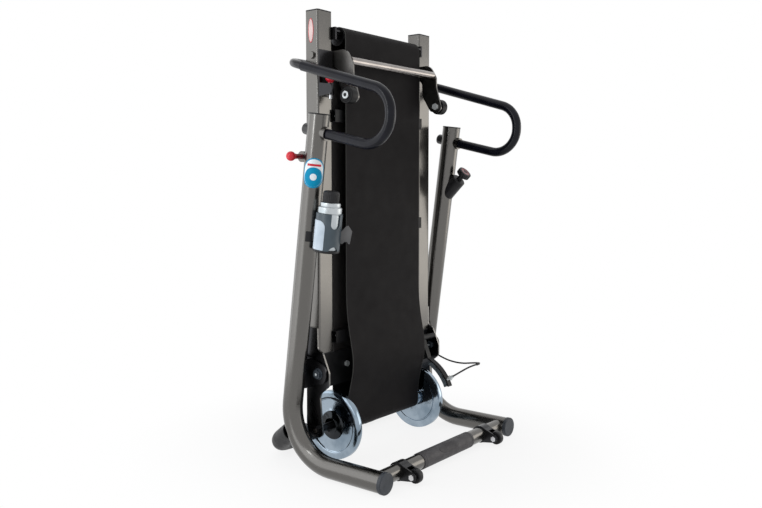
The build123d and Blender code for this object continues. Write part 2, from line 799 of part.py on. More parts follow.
with BuildPart() as leg_wheel_bolts:
    for side, sign in SIDES:
        inner_face = (sign * leg_plate_inner, leg_wheel_y, leg_wheel_z)
        hexagon(inner_face, (-sign, 0, 0), 6, 15)
        rod(inner_face, (sign, 0, 0), leg_wheel_outer - leg_plate_inner + 3, leg_bolt_radius)
        outer_face = (sign * (leg_wheel_outer + side_play), leg_wheel_y, leg_wheel_z)
        rod(outer_face, (sign, 0, 0), 3, 9)
finish(leg_wheel_bolts, "leg_wheel_bolts")

for side, sign in SIDES:
    with BuildPart() as leg_wheel:
        wheel_start = (sign * leg_wheel_inner, leg_wheel_y, leg_wheel_z)
        tread_width = leg_wheel_outer - leg_wheel_inner
        ring(wheel_start, (sign, 0, 0), tread_width, leg_wheel_radius, leg_bolt_radius + pivot_play)
        treads = leg_wheel.edges().filter_by(GeomType.CIRCLE).sort_by(SortBy.RADIUS)[-2:]
        fillet(treads, radius=3)
    finish(leg_wheel, f"leg_wheel_{side}")

# Incline lock: a bracket on the left rail and a spring pin pulled upwards
bracket_low = leg_pivot_z - incline_bracket_drop
bracket_high = bracket_low + incline_bracket_height
barrel_low = bracket_low + incline_barrel_low
barrel_high = bracket_low + incline_barrel_high
incline_ball_z = bracket_low + incline_ball_rise
flange_x = -rail_outer + incline_bracket_inset
flange_high = bracket_low + incline_flange_height

with BuildPart() as incline_bracket:
    plate_x = (flange_x, -rail_inner - incline_bracket_inset)
    block(plate_x, (-incline_bracket_plate, 0), (bracket_low, bracket_high))
    with BuildSketch(Plane.YZ.offset(flange_x)):
        with BuildLine():
            FilletPolyline(
                (0, bracket_low),
                (0, flange_high),
                (-40, flange_high - 6),
                (-44, bracket_low + 6),
                radius=[0.5, 0.5, 8, 8],
                close=True,
            )
        make_face()
    extrude(amount=incline_bracket_plate)
    web_y = (incline_pin_y - 5, incline_pin_y + 5)
    block((flange_x + 2, incline_pin_x), web_y, (barrel_low + 4, barrel_high - 4))
    barrel_start = (incline_pin_x, incline_pin_y, barrel_low)
    rod(barrel_start, (0, 0, 1), barrel_high - barrel_low, incline_barrel_radius)
    pin_bore = incline_pin_radius + pin_play
    rod((incline_pin_x, incline_pin_y, barrel_low - 5), (0, 0, 1), 60, pin_bore, Mode.SUBTRACT)
finish(incline_bracket, "incline_bracket")

with BuildPart() as incline_pin:
    pin_tip = barrel_low - 10
    pin_base = (incline_pin_x, incline_pin_y, pin_tip)
    rod(pin_base, (0, 0, 1), incline_ball_z - pin_tip, incline_pin_radius)
    tip_edge = incline_pin.edges().filter_by(GeomType.CIRCLE).group_by(Axis.Z)[0]
    chamfer(tip_edge, length=1)
    with Locations((incline_pin_x, incline_pin_y, incline_ball_z)):
        Sphere(incline_ball_radius)
finish(incline_pin, "incline_pin")

# Lock pin that holds the deck up, in a housing welded to the left upright
with BuildPart() as lock_housing:
    housing_length = lock_housing_inner - lock_housing_outer
    rod((lock_housing_outer, lock_y, lock_z), (1, 0, 0), housing_length, lock_housing_radius)
    web_x = (-upright_x + 2, -upright_x + 30)
    block(web_x, (upright_y(lock_z), lock_y), (lock_z - 10, lock_z + 10))
    cut_upright(-1)
    pin_bore = lock_pin_radius + pin_play
    rod((lock_housing_outer - 5, lock_y, lock_z), (1, 0, 0), housing_length + 10, pin_bore, Mode.SUBTRACT)
finish(lock_housing, "lock_housing")

with BuildPart() as lock_pin:
    rod((lock_ball_x, lock_y, lock_z), (1, 0, 0), lock_pin_tip - lock_ball_x, lock_pin_radius)
    tip_edge = lock_pin.edges().filter_by(GeomType.CIRCLE).group_by(Axis.X)[-1]
    chamfer(tip_edge, length=1.5)
    with Locations((lock_ball_x, lock_y, lock_z)):
        Sphere(lock_ball_radius)
finish(lock_pin, "lock_pin")

# Tension control on the right upright
tension_direction = Vector(*tension_axis).normalized()
tension_top = Vector(upright_x, tension_end_y, tension_end_z)
shaft_radius = 4.0

with BuildPart() as tension_housing:
    rod(tension_top - tension_direction * tension_length, tension_direction, tension_length, tension_radius)
    cut_upright(1)
    top_rim = tension_housing.edges().filter_by(GeomType.CIRCLE).group_by(Axis.Z)[-1]
    chamfer(top_rim, length=2)
    bore_start = tension_top - tension_direction * 30
    rod(bore_start, tension_direction, 40, shaft_radius + pin_play, Mode.SUBTRACT)
finish(tension_housing, "tension_housing")

with BuildPart() as tension_knob:
    rod(tension_top - tension_direction * 24, tension_direction, 24 + knob_gap, shaft_radius)
    neck_start = tension_top + tension_direction * knob_neck_gap
    rod(neck_start, tension_direction, knob_gap - knob_neck_gap, knob_neck_radius)
    rod(tension_top + tension_direction * knob_gap, tension_direction, knob_length, knob_radius)
    knob_plane = Plane(origin=tension_top + tension_direction * knob_gap, x_dir=(1, 0, 0), z_dir=tension_direction)
    with BuildSketch(knob_plane):
        with PolarLocations(knob_radius + 1.5, 12):
            Circle(2.5)
    extrude(amount=knob_length, mode=Mode.SUBTRACT)
finish(tension_knob, "tension_knob")

# Magnetic brake: a curved arm hung from a stud on the right side plate
brake_centre = (roller_y, front_roller_z)
brake_middle = (brake_inner + brake_outer) / 2
arm_radius = 126.0
arm_angles = (158.0, 112.0)
shoe_angles = (157.0, 115.0)
magnet_angles = (150.0, 136.0, 122.0)


def around_flywheel(radius, angle):
    return (roller_y + radius * cos(radians(angle)), front_roller_z + radius * sin(radians(angle)))


with BuildPart() as brake_stud:
    stud_start = (brake_inner - 6, brake_pivot_y, brake_pivot_z)
    rod(stud_start, (1, 0, 0), lug_outer - brake_inner + 6, brake_stud_radius)
    shoulder_start = (brake_outer + side_play, brake_pivot_y, brake_pivot_z)
    rod(shoulder_start, (1, 0, 0), rail_outer - brake_outer - side_play, brake_stud_radius + 3)
    hexagon((brake_inner - side_play, brake_pivot_y, brake_pivot_z), (-1, 0, 0), 5, 13)
finish(brake_stud, "brake_stud")

with BuildPart() as brake_arm:
    with BuildSketch(Plane.YZ.offset(brake_inner)):
        inside = arm_radius - brake_thickness / 2
        outside = arm_radius + brake_thickness / 2
        middle = sum(arm_angles) / 2
        with BuildLine():
            tip_in = around_flywheel(inside, arm_angles[0])
            tip_out = around_flywheel(outside, arm_angles[0])
            root_in = around_flywheel(inside, arm_angles[1])
            root_out = around_flywheel(outside, arm_angles[1])
            ThreePointArc(tip_in, around_flywheel(inside, middle), root_in)
            ThreePointArc(tip_out, around_flywheel(outside, middle), root_out)
            Line(tip_in, tip_out)
            Line(root_in, (brake_pivot_y + 3, brake_pivot_z - 5))
            Line((brake_pivot_y + 3, brake_pivot_z - 5), (brake_pivot_y - 3, brake_pivot_z + 5))
            Line((brake_pivot_y - 3, brake_pivot_z + 5), root_out)
        make_face()
        with Locations((brake_pivot_y, brake_pivot_z)):
            Circle(9)
            Circle(brake_stud_radius + pivot_play, mode=Mode.SUBTRACT)
    extrude(amount=brake_outer - brake_inner)
finish(brake_arm, "brake_arm")

with BuildPart() as brake_magnets:
    shoe_outer = arm_radius - brake_thickness / 2 - shoe_gap
    shoe_inner = shoe_outer - shoe_thickness
    with BuildSketch(Plane.YZ.offset(brake_inner)):
        with BuildLine():
            tip_in = around_flywheel(shoe_inner, shoe_angles[0])
            tip_out = around_flywheel(shoe_outer, shoe_angles[0])
            root_in = around_flywheel(shoe_inner, shoe_angles[1])
            root_out = around_flywheel(shoe_outer, shoe_angles[1])
            shoe_middle = sum(shoe_angles) / 2
            ThreePointArc(tip_in, around_flywheel(shoe_inner, shoe_middle), root_in)
            ThreePointArc(tip_out, around_flywheel(shoe_outer, shoe_middle), root_out)
            Line(tip_in, tip_out)
            Line(root_in, root_out)
        make_face()
    extrude(amount=brake_outer - brake_inner)
    for angle in magnet_angles:
        seat = around_flywheel(shoe_outer - shoe_thickness / 2, angle)
        outward = (0, cos(radians(angle)), sin(radians(angle)))
        magnet_plane = Plane(origin=(brake_middle, *seat), x_dir=(1, 0, 0), z_dir=outward)
        with BuildSketch(magnet_plane):
            Rectangle(brake_outer - brake_inner - 2, magnet_width)
        extrude(amount=shoe_gap + shoe_thickness)
    with BuildSketch(Plane.YZ.offset(brake_inner - 2)):
        with Locations(brake_centre):
            Circle(arm_radius + 20)
            Circle(arm_radius - brake_thickness / 2, mode=Mode.SUBTRACT)
    extrude(amount=brake_outer - brake_inner + 4, mode=Mode.SUBTRACT)
finish(brake_magnets, "brake_magnets")

# Brake cable: a slack loop from the right upright to the tip of the brake arm
# Its route: share of the way from the arm out to the grommet, then Y and Z
cable_outer = upright_x - 22.0
cable_route = [
    (1.0, 8.0, 214.0),
    (0.9625, -26.0, 203.0),
    (0.925, -62.0, 194.0),
    (0.9125, -104.0, 192.0),
    (0.9, -142.0, 199.0),
    (0.7625, -172.0, 205.0),
    (0.4375, -183.0, 208.0),
    (0.125, -171.0, 203.0),
    (0.025, -147.0, 187.0),
    (0.0, -123.0, 171.0),
]
cable_points = [
    (brake_middle + share * (cable_outer - brake_middle), y, z) for share, y, z in cable_route
]


def corner_radii(points):
    """Largest arcs that fit half-way along the shorter run at each corner."""
    radii = []
    for before, corner, after in zip(points, points[1:], points[2:]):
        first = Vector(*corner) - Vector(*before)
        second = Vector(*after) - Vector(*corner)
        half_turn = radians(first.get_angle(second) / 2)
        shorter = min(first.length, second.length)
        radii.append(0.45 * shorter * cos(half_turn) / sin(half_turn))
    return radii


with BuildPart() as brake_cable:
    bent_tube(cable_points, corner_radii(cable_points), cable_radius)
finish(brake_cable, "brake_cable")

adjuster_direction = (Vector(*cable_points[-1]) - Vector(*cable_points[-2])).normalized()
adjuster_start = Vector(*cable_points[-1])
adjuster_length = 26.0

with BuildPart() as cable_adjuster:
    rod(adjuster_start, adjuster_direction, adjuster_length, 4)
    hexagon(adjuster_start + adjuster_direction * 8, adjuster_direction, 5, 12)
    with BuildSketch(Plane.YZ.offset(brake_inner - 2)):
        with Locations(brake_centre):
            Circle(arm_radius + brake_thickness / 2)
    extrude(amount=brake_outer - brake_inner + 4, mode=Mode.SUBTRACT)
    kept = cable_adjuster.part.solids().sort_by(SortBy.VOLUME)[-1]
    add(kept, mode=Mode.REPLACE)
finish(cable_adjuster, "cable_adjuster")

with BuildPart() as cable_grommet:
    grommet_rear = cable_points[0][1] + grommet_gap
    rod((cable_points[0][0], grommet_rear, cable_points[0][2]), (0, 1, 0), gusset_rear - grommet_rear, 6)
finish(cable_grommet, "cable_grommet")

# Drinking bottle in a cage clamped to the left upright
bottle_root = Vector(bottle_x, upright_y(bottle_bottom_z) - bottle_offset, bottle_bottom_z)
bottle_plane = Plane(origin=bottle_root, x_dir=(1, 0, 0), z_dir=upright_axis)
cage_inner = bottle_radius + bottle_play
cage_outer = cage_inner + cage_wall
cage_height = 92.0
cage_floor = 4.0
window_direction = Vector(-0.275, -0.952, -0.1274).normalized()
window_height = 65.0
window_radius = 11.5
scoop_radius = 12.0
saddle_thickness = 3.0
saddle_depth = 39.0
wing_start = 14.0
wing_height = 44.0
wing_reach = 57.0
wing_direction = (0.6, -0.8, 0.0)

with BuildPart() as bottle_cage:
    rod(bottle_root - upright_axis * cage_floor, upright_axis, cage_height, cage_outer)
    clamp_low = bottle_root + upright_axis * 22
    clamp_plane = Plane(origin=clamp_low, x_dir=(1, 0, 0), z_dir=upright_axis)
    with BuildSketch(clamp_plane):
        with Locations((0, bottle_offset / 2)):
            Rectangle(26, bottle_offset)
    extrude(amount=34)
    wing_low = bottle_root + upright_axis * wing_start
    wing_plane = Plane(origin=wing_low, x_dir=wing_direction, z_dir=upright_axis)
    with BuildSketch(wing_plane):
        with Locations((wing_reach / 2, 0)):
            Rectangle(wing_reach, cage_wall)
    extrude(amount=wing_height)
    cut_upright(-1)
    rod(bottle_root, upright_axis, cage_height + 20, cage_inner, Mode.SUBTRACT)
    window_across = upright_axis.cross(window_direction)
    with BuildSketch(Plane(origin=bottle_root, x_dir=window_across, z_dir=window_direction)):
        with Locations((0, window_height)):
            Circle(window_radius)
        with Locations((0, window_height + cage_height / 2)):
            Rectangle(2 * window_radius, cage_height)
        Circle(scoop_radius)
    extrude(amount=2 * cage_outer, mode=Mode.SUBTRACT)
finish(bottle_cage, "bottle_cage")

with BuildPart() as bottle_clamp:
    clamp_base = Vector(bottle_x, upright_y(clamp_low.Z), clamp_low.Z)
    band_plane = Plane(origin=clamp_base, x_dir=(1, 0, 0), z_dir=upright_axis)
    with BuildSketch(band_plane):
        Circle(tube_radius + saddle_thickness)
        Circle(tube_radius, mode=Mode.SUBTRACT)
        with Locations((0, tube_radius - saddle_depth)):
            Rectangle(4 * tube_radius, 4 * tube_radius, align=(Align.CENTER, Align.MIN), mode=Mode.SUBTRACT)
        with Locations((0, -tube_radius)):
            Rectangle(26.4, 20, mode=Mode.SUBTRACT)
    extrude(amount=24)
finish(bottle_clamp, "bottle_clamp")

# Outlines of the bottle pieces: distance from the axis, height along it
bottle_outline = [
    (0, 0),
    (bottle_radius - 2, 0),
    (bottle_radius, 2),
    (bottle_radius, 86),
    (bottle_radius - 1.5, 89),
    (bottle_radius - 1.5, 97),
    (bottle_radius - 4, 99),
    (bottle_radius - 4, 104),
    (bottle_radius - 6, 106),
    (bottle_radius - 6, 113),
    (0, 113),
]
cap_outline = [(0, 113), (19.5, 113), (19.5, 134), (17, 138), (10, 140), (0, 140)]


def turned_on_bottle_axis(outline):
    with BuildSketch(Plane(origin=bottle_root, x_dir=(1, 0, 0), z_dir=(0, -1, -lean))) as section:
        Polygon(*outline, align=None)
    revolve(section.sketch, axis=Axis(bottle_root, upright_axis))


with BuildPart() as bottle:
    turned_on_bottle_axis(bottle_outline)
finish(bottle, "bottle")

with BuildPart() as bottle_cap:
    turned_on_bottle_axis(cap_outline)
finish(bottle_cap, "bottle_cap")
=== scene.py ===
import math

import bmesh
import bpy
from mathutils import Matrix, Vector


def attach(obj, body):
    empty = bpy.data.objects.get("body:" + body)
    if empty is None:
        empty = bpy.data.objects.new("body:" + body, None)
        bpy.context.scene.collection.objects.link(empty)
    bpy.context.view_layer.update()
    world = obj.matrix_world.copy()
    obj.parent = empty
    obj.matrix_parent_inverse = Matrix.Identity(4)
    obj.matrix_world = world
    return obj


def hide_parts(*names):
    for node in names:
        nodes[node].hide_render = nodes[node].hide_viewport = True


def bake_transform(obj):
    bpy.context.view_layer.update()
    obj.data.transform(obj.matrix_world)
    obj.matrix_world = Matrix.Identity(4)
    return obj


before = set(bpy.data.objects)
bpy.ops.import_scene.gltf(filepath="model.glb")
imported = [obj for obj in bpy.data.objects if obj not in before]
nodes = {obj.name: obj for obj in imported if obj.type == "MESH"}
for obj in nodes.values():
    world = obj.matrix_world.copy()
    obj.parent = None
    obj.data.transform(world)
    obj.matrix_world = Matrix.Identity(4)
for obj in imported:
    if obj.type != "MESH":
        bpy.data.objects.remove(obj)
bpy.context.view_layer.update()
scene = bpy.context.scene
scene.view_settings.view_transform = "Standard"

# Camera at the photograph's viewing angle
CAMERA_PLACE = (-1.7042, -1.3527, 0.6988)
CAMERA_YAW = math.radians(51.73)
CAMERA_PITCH = math.radians(4.77)
CAMERA_LENS = 38.68
SENSOR_WIDTH = 36.0

camera_data = bpy.data.cameras.new("camera")
camera_data.sensor_fit = "HORIZONTAL"
camera_data.sensor_width = SENSOR_WIDTH
camera_data.lens = CAMERA_LENS
camera = bpy.data.objects.new("camera", camera_data)
camera.location = CAMERA_PLACE
camera.rotation_euler = (math.pi / 2 - CAMERA_PITCH, 0.0, -CAMERA_YAW)
scene.collection.objects.link(camera)
scene.camera = camera

# Places taken from the solids, in metres
UPRIGHT_X = 0.280
UPRIGHT_RADIUS = 0.025
UPRIGHT_FOOT_Y = 0.0668
UPRIGHT_FOOT_Z = 0.0252
UPRIGHT_TOP_Y = -0.0454
UPRIGHT_TOP_Z = 0.8640
UPRIGHT_LEAN = (UPRIGHT_FOOT_Y - UPRIGHT_TOP_Y) / (UPRIGHT_TOP_Z - UPRIGHT_FOOT_Z)
UPRIGHT_AXIS = Vector((0.0, -UPRIGHT_LEAN, 1.0)).normalized()
ROLLER_Y = 0.004
FRONT_ROLLER_Z = 0.094
FLYWHEEL_HUB = 0.0369
FLYWHEEL_MIDDLE = 0.1780
PIVOT_Y = -0.006
PIVOT_Z = 0.238
# Radius of each pivot bolt's bright end, a painted highlight for its glint
PIVOT_BARE_HIGHLIGHT = 0.0034
LEG_WHEEL_PLACE = (0.0, -0.062, 0.915)
BELT_EDGE = 0.1540
PLATE_EDGE_FACING = 0.7
SIDES = (("left", -1), ("right", 1))

# Limits that the meshes share
SHARP_ANGLE = 34.0
MERGE_DISTANCE = 1e-7
ON_AXIS = 1e-6
LEAST_HALF_WIDTH = 0.0004


def upright_y(z):
    """Forward position of the upright's centre line at a height."""
    return UPRIGHT_FOOT_Y - (z - UPRIGHT_FOOT_Z) * UPRIGHT_LEAN


# Surface finishes; the numbers are the places of a mix node's colour sockets
MIX_FIRST = 6
MIX_SECOND = 7
MIX_RESULT = 2


class Finish:
    """A principled shader with helpers for the textures that drive it."""

    def __init__(self, name, **sockets):
        self.material = bpy.data.materials.new(name)
        self.material.use_nodes = True
        self.tree = self.material.node_tree
        self.shader = self.tree.nodes["Principled BSDF"]
        for socket, value in sockets.items():
            self.shader.inputs[socket.replace("_", " ")].default_value = value
        self.place = self.tree.nodes.new("ShaderNodeTexCoord").outputs["Object"]

    def node(self, kind, **settings):
        made = self.tree.nodes.new(kind)
        for setting, value in settings.items():
            setattr(made, setting, value)
        return made

    def link(self, source, target):
        self.tree.links.new(source, target)

    def noise(self, scale, detail=3.0, stretch=None):
        texture = self.node("ShaderNodeTexNoise")
        texture.inputs["Scale"].default_value = scale
        texture.inputs["Detail"].default_value = detail
        self.link(self.stretched(stretch) if stretch else self.place, texture.inputs["Vector"])
        return texture.outputs["Fac"]

    def stretched(self, stretch):
        mapping = self.node("ShaderNodeMapping")
        mapping.inputs["Scale"].default_value = stretch
        self.link(self.place, mapping.inputs["Vector"])
        return mapping.outputs["Vector"]

    def math(self, operation, first, second=0.0):
        made = self.node("ShaderNodeMath", operation=operation)
        for socket, value in zip(made.inputs, (first, second)):
            if isinstance(value, (int, float)):
                socket.default_value = value
            else:
                self.link(value, socket)
        return made.outputs["Value"]

    def axes(self):
        split = self.node("ShaderNodeSeparateXYZ")
        self.link(self.place, split.inputs["Vector"])
        return split.outputs["X"], split.outputs["Y"], split.outputs["Z"]

    def radius_about(self, middle_y, middle_z):
        """Distance from a line that runs along X."""
        _, forward, height = self.axes()
        off_y = self.math("SUBTRACT", forward, middle_y)
        off_z = self.math("SUBTRACT", height, middle_z)
        squares = self.math("ADD", self.math("MULTIPLY", off_y, off_y), self.math("MULTIPLY", off_z, off_z))
        return self.math("SQRT", squares)

    def spread(self, factor, low, high, start=0.3, stop=0.7):
        made = self.node("ShaderNodeMapRange")
        self.link(factor, made.inputs["Value"])
        made.inputs["From Min"].default_value = start
        made.inputs["From Max"].default_value = stop
        made.inputs["To Min"].default_value = low
        made.inputs["To Max"].default_value = high
        return made.outputs["Result"]

    def ramp(self, factor, low, high, start=0.35, stop=0.65):
        made = self.node("ShaderNodeValToRGB")
        made.color_ramp.elements[0].position = start
        made.color_ramp.elements[0].color = (*low, 1.0)
        made.color_ramp.elements[1].position = stop
        made.color_ramp.elements[1].color = (*high, 1.0)
        self.link(factor, made.inputs["Fac"])
        return made.outputs["Color"]

    def blend(self, factor, first, second):
        made = self.node("ShaderNodeMix", data_type="RGBA")
        self.link(factor, made.inputs["Factor"])
        for socket, colour in ((made.inputs[MIX_FIRST], first), (made.inputs[MIX_SECOND], second)):
            if isinstance(colour, tuple):
                socket.default_value = (*colour, 1.0)
            else:
                self.link(colour, socket)
        return made.outputs[MIX_RESULT]

    def colour(self, source):
        self.link(source, self.shader.inputs["Base Color"])

    def roughness(self, source):
        self.link(source, self.shader.inputs["Roughness"])

    def bump(self, height, strength, distance=0.001):
        made = self.node("ShaderNodeBump")
        made.inputs["Strength"].default_value = strength
        made.inputs["Distance"].default_value = distance
        self.link(height, made.inputs["Height"])
        self.link(made.outputs["Normal"], self.shader.inputs["Normal"])


def metallic_paint(name, dark, light, rough_low, rough_high):
    """Lacquered metallic paint with fine flakes and a faint orange peel."""
    finish = Finish(name, Metallic=1.0, Coat_Weight=0.18, Coat_Roughness=0.18)
    flakes = finish.noise(scale=1600.0, detail=2.0)
    gloss = finish.noise(scale=14.0, detail=4.0)
    peel = finish.noise(scale=420.0, detail=2.0)
    finish.colour(finish.ramp(flakes, dark, light))
    finish.roughness(finish.spread(gloss, rough_low, rough_high))
    finish.bump(peel, strength=0.0025, distance=0.0004)
    return finish.material


def moulded(name, dark, light, rough_low, rough_high, grain=900.0, depth=0.12, **sockets):
    """Moulded plastic or rubber: fine grain in the surface and uneven gloss."""
    finish = Finish(name, **sockets)
    mottling = finish.noise(scale=38.0, detail=5.0)
    gloss = finish.noise(scale=60.0, detail=4.0)
    finish.colour(finish.ramp(mottling, dark, light))
    finish.roughness(finish.spread(gloss, rough_low, rough_high))
    finish.bump(finish.noise(grain, detail=2.0), depth, distance=0.0006)
    return finish.material


def plated(name, dark, light, rough_low, rough_high, stretch=(1.0, 1.0, 1.0)):
    """Plated or brushed steel."""
    finish = Finish(name, Metallic=1.0)
    tarnish = finish.noise(scale=26.0, detail=2.0)
    gloss = finish.noise(scale=60.0, detail=3.0, stretch=stretch)
    brushing = finish.noise(scale=700.0, detail=2.0, stretch=stretch)
    finish.colour(finish.ramp(tarnish, dark, light))
    finish.roughness(finish.spread(gloss, rough_low, rough_high))
    finish.bump(brushing, strength=0.02, distance=0.0002)
    return finish.material


BLACK_PAINT = ((0.020, 0.020, 0.022), (0.036, 0.036, 0.039))

frame_paint = metallic_paint("frame_paint", (0.112, 0.108, 0.102), (0.142, 0.137, 0.130), 0.21, 0.27)
leg_paint = metallic_paint("leg_paint", (0.120, 0.115, 0.110), (0.152, 0.146, 0.140), 0.27, 0.33)
black_paint = metallic_paint("black_paint", *BLACK_PAINT, 0.22, 0.34)
black_plastic = moulded(
    "black_plastic", (0.008, 0.008, 0.009), (0.015, 0.015, 0.017), 0.34, 0.50, Specular_IOR_Level=0.25
)
gloss_black = moulded("gloss_black", (0.008, 0.008, 0.009), (0.014, 0.014, 0.016), 0.16, 0.24, 600.0, 0.02)
satin_black = moulded(
    "satin_black", (0.0060, 0.0060, 0.0066), (0.0105, 0.0105, 0.0115), 0.40, 0.52, 800.0, 0.04,
    Specular_IOR_Level=0.18,
)
cap_rubber = moulded("cap_rubber", (0.018, 0.022, 0.029), (0.031, 0.037, 0.047), 0.45, 0.62)
sleeve_rubber = moulded("sleeve_rubber", (0.034, 0.032, 0.035), (0.046, 0.043, 0.047), 0.5, 0.65, 1400.0, 0.2)
pad_rubber = moulded("pad_rubber", (0.024, 0.022, 0.025), (0.033, 0.031, 0.034), 0.55, 0.7, 1800.0, 0.25)
grip_foam = moulded(
    "grip_foam", (0.0026, 0.0030, 0.0062), (0.0052, 0.0058, 0.0110), 0.20, 0.27, 1500.0, 0.05,
    Specular_IOR_Level=0.20,
)
red_plastic = moulded(
    "red_plastic", (0.50, 0.010, 0.022), (0.60, 0.016, 0.034), 0.14, 0.22, 500.0, 0.02,
    Specular_IOR_Level=0.35,
)
dark_red_plastic = moulded(
    "dark_red_plastic", (0.14, 0.006, 0.012), (0.20, 0.010, 0.018), 0.2, 0.3, 600.0, 0.03
)
steel = plated("steel", (0.58, 0.59, 0.61), (0.68, 0.68, 0.69), 0.18, 0.30)
satin_silver = plated("satin_silver", (0.38, 0.42, 0.44), (0.48, 0.51, 0.53), 0.32, 0.42)
rod_steel = plated("rod_steel", (0.27, 0.250, 0.24), (0.33, 0.305, 0.29), 0.16, 0.26, (1.0, 12.0, 12.0))
slate_paint = moulded("slate_paint", (0.080, 0.098, 0.112), (0.105, 0.126, 0.142), 0.30, 0.42, 700.0, 0.03)
slate_plastic = moulded("slate_plastic", (0.031, 0.050, 0.065), (0.046, 0.068, 0.085), 0.35, 0.5)
zinc = moulded("zinc", (0.58, 0.62, 0.63), (0.70, 0.73, 0.74), 0.30, 0.42, 700.0, 0.03, Metallic=0.35)
pale_plastic = moulded("pale_plastic", (0.42, 0.50, 0.58), (0.52, 0.60, 0.68), 0.3, 0.42, 1100.0, 0.06)
wing_plastic = moulded("wing_plastic", (0.085, 0.085, 0.088), (0.115, 0.115, 0.118), 0.45, 0.6)
blue_label = moulded(
    "blue_label", (0.001, 0.235, 0.43), (0.002, 0.275, 0.49), 0.28, 0.40, 700.0, 0.03,
    Specular_IOR_Level=0.12,
)
white_label = moulded("white_label", (0.70, 0.76, 0.80), (0.80, 0.85, 0.88), 0.22, 0.34, 700.0, 0.03)
pink_label = moulded("pink_label", (0.62, 0.46, 0.45), (0.72, 0.56, 0.54), 0.3, 0.42, 700.0, 0.03)
cable_sheath = moulded("cable_sheath", (0.008, 0.008, 0.009), (0.014, 0.014, 0.015), 0.3, 0.42, 1200.0, 0.08)


def chrome_finish():
    """Polished, turned chrome with faint rings, slightly wavy; the outer faces are darkened about their
    centres as painted shade.
    """
    finish = Finish("chrome", Metallic=1.0)
    across = finish.axes()[0]
    radius = finish.radius_about(ROLLER_Y, FRONT_ROLLER_Z)
    ring_fineness = 9000.0
    ring_gloss = 0.12
    ring_height = 0.002
    rings = finish.math("SINE", finish.math("MULTIPLY", radius, ring_fineness))
    polish = finish.noise(scale=55.0, detail=4.0)
    gloss = finish.math("ADD", finish.math("MULTIPLY", rings, ring_gloss), polish)
    face = finish.ramp(finish.noise(scale=20.0), (0.20, 0.26, 0.32), (0.34, 0.41, 0.48))
    # Painted shade: the outer faces turn near black within FLYWHEEL_HUB of the axle
    outer_side = finish.math("GREATER_THAN", finish.math("ABSOLUTE", across), FLYWHEEL_MIDDLE)
    shaded_hub = finish.math("MULTIPLY", outer_side, finish.math("LESS_THAN", radius, FLYWHEEL_HUB))
    finish.colour(finish.blend(shaded_hub, face, (0.030, 0.033, 0.036)))
    finish.roughness(finish.spread(gloss, 0.05, 0.14))
    waves = finish.math("ADD", finish.noise(scale=22.0), finish.math("MULTIPLY", rings, ring_height))
    finish.bump(waves, strength=0.5, distance=0.002)
    return finish.material


def bolt_finish():
    """Dark plated heads about the unpainted end of each pivot bolt; that bright end is also a painted
    highlight for its glint.
    """
    finish = Finish("pivot_steel", Metallic=0.4)
    # Painted highlight: a bright disc at each bolt's end stands in for its glint
    bare_highlight = finish.math("LESS_THAN", finish.radius_about(PIVOT_Y, PIVOT_Z), PIVOT_BARE_HIGHLIGHT)
    plating = finish.ramp(finish.noise(scale=90.0), (0.040, 0.050, 0.062), (0.062, 0.074, 0.090))
    finish.colour(finish.blend(bare_highlight, plating, (0.62, 0.66, 0.68)))
    finish.roughness(finish.spread(finish.noise(scale=60.0, detail=3.0), 0.24, 0.34))
    finish.bump(finish.noise(scale=700.0), strength=0.03, distance=0.0004)
    return finish.material


def plate_finish():
    """Black painted plate; faces turned away from X, its cut edges, take a lighter unpainted-steel colour
    that is also a painted highlight.
    """
    finish = Finish("plate_paint", Metallic=1.0, Coat_Weight=0.25, Coat_Roughness=0.08)
    facing = finish.node("ShaderNodeSeparateXYZ")
    finish.link(finish.node("ShaderNodeTexCoord").outputs["Normal"], facing.inputs["Vector"])
    # Painted highlight: edge faces take a lighter unpainted-steel colour
    edge = finish.math("LESS_THAN", finish.math("ABSOLUTE", facing.outputs["X"]), PLATE_EDGE_FACING)
    paint = finish.ramp(finish.noise(scale=1600.0, detail=2.0), *BLACK_PAINT)
    bare_highlight = finish.ramp(finish.noise(scale=300.0), (0.130, 0.126, 0.122), (0.175, 0.170, 0.164))
    finish.colour(finish.blend(edge, paint, bare_highlight))
    finish.roughness(finish.spread(finish.noise(scale=14.0, detail=4.0), 0.22, 0.34))
    finish.bump(finish.noise(scale=420.0, detail=2.0), strength=0.0025, distance=0.0004)
    return finish.material


def belt_finish():
    """Woven-backed rubber belt with paler cut edges."""
    finish = Finish("belt_rubber", Specular_IOR_Level=0.09)
    across, _, height = finish.axes()
    threads = 2600.0
    warp = finish.math("SINE", finish.math("MULTIPLY", across, threads))
    weft = finish.math("SINE", finish.math("MULTIPLY", height, threads))
    weave = finish.math("MULTIPLY", warp, weft)
    worn = finish.noise(scale=9.0, detail=6.0)
    wear = finish.ramp(worn, (0.0062, 0.0054, 0.0058), (0.0082, 0.0072, 0.0076))
    edge = finish.math("GREATER_THAN", finish.math("ABSOLUTE", across), BELT_EDGE)
    finish.colour(finish.blend(edge, wear, (0.055, 0.055, 0.053)))
    finish.roughness(finish.spread(finish.noise(scale=30.0, detail=5.0), 0.58, 0.66))
    finish.bump(weave, strength=0.22, distance=0.0004)
    return finish.material


def wood_finish():
    """Fibreboard with a black lacquer over a long grain."""
    finish = Finish("board_wood")
    grain = finish.noise(scale=60.0, detail=6.0, stretch=(8.0, 8.0, 0.7))
    finish.colour(finish.ramp(grain, (0.006, 0.005, 0.005), (0.014, 0.012, 0.011)))
    finish.roughness(finish.spread(grain, 0.5, 0.7))
    finish.bump(grain, strength=0.2, distance=0.0005)
    return finish.material


chrome = chrome_finish()
pivot_steel = bolt_finish()
plate_paint = plate_finish()
belt_rubber = belt_finish()
board_wood = wood_finish()

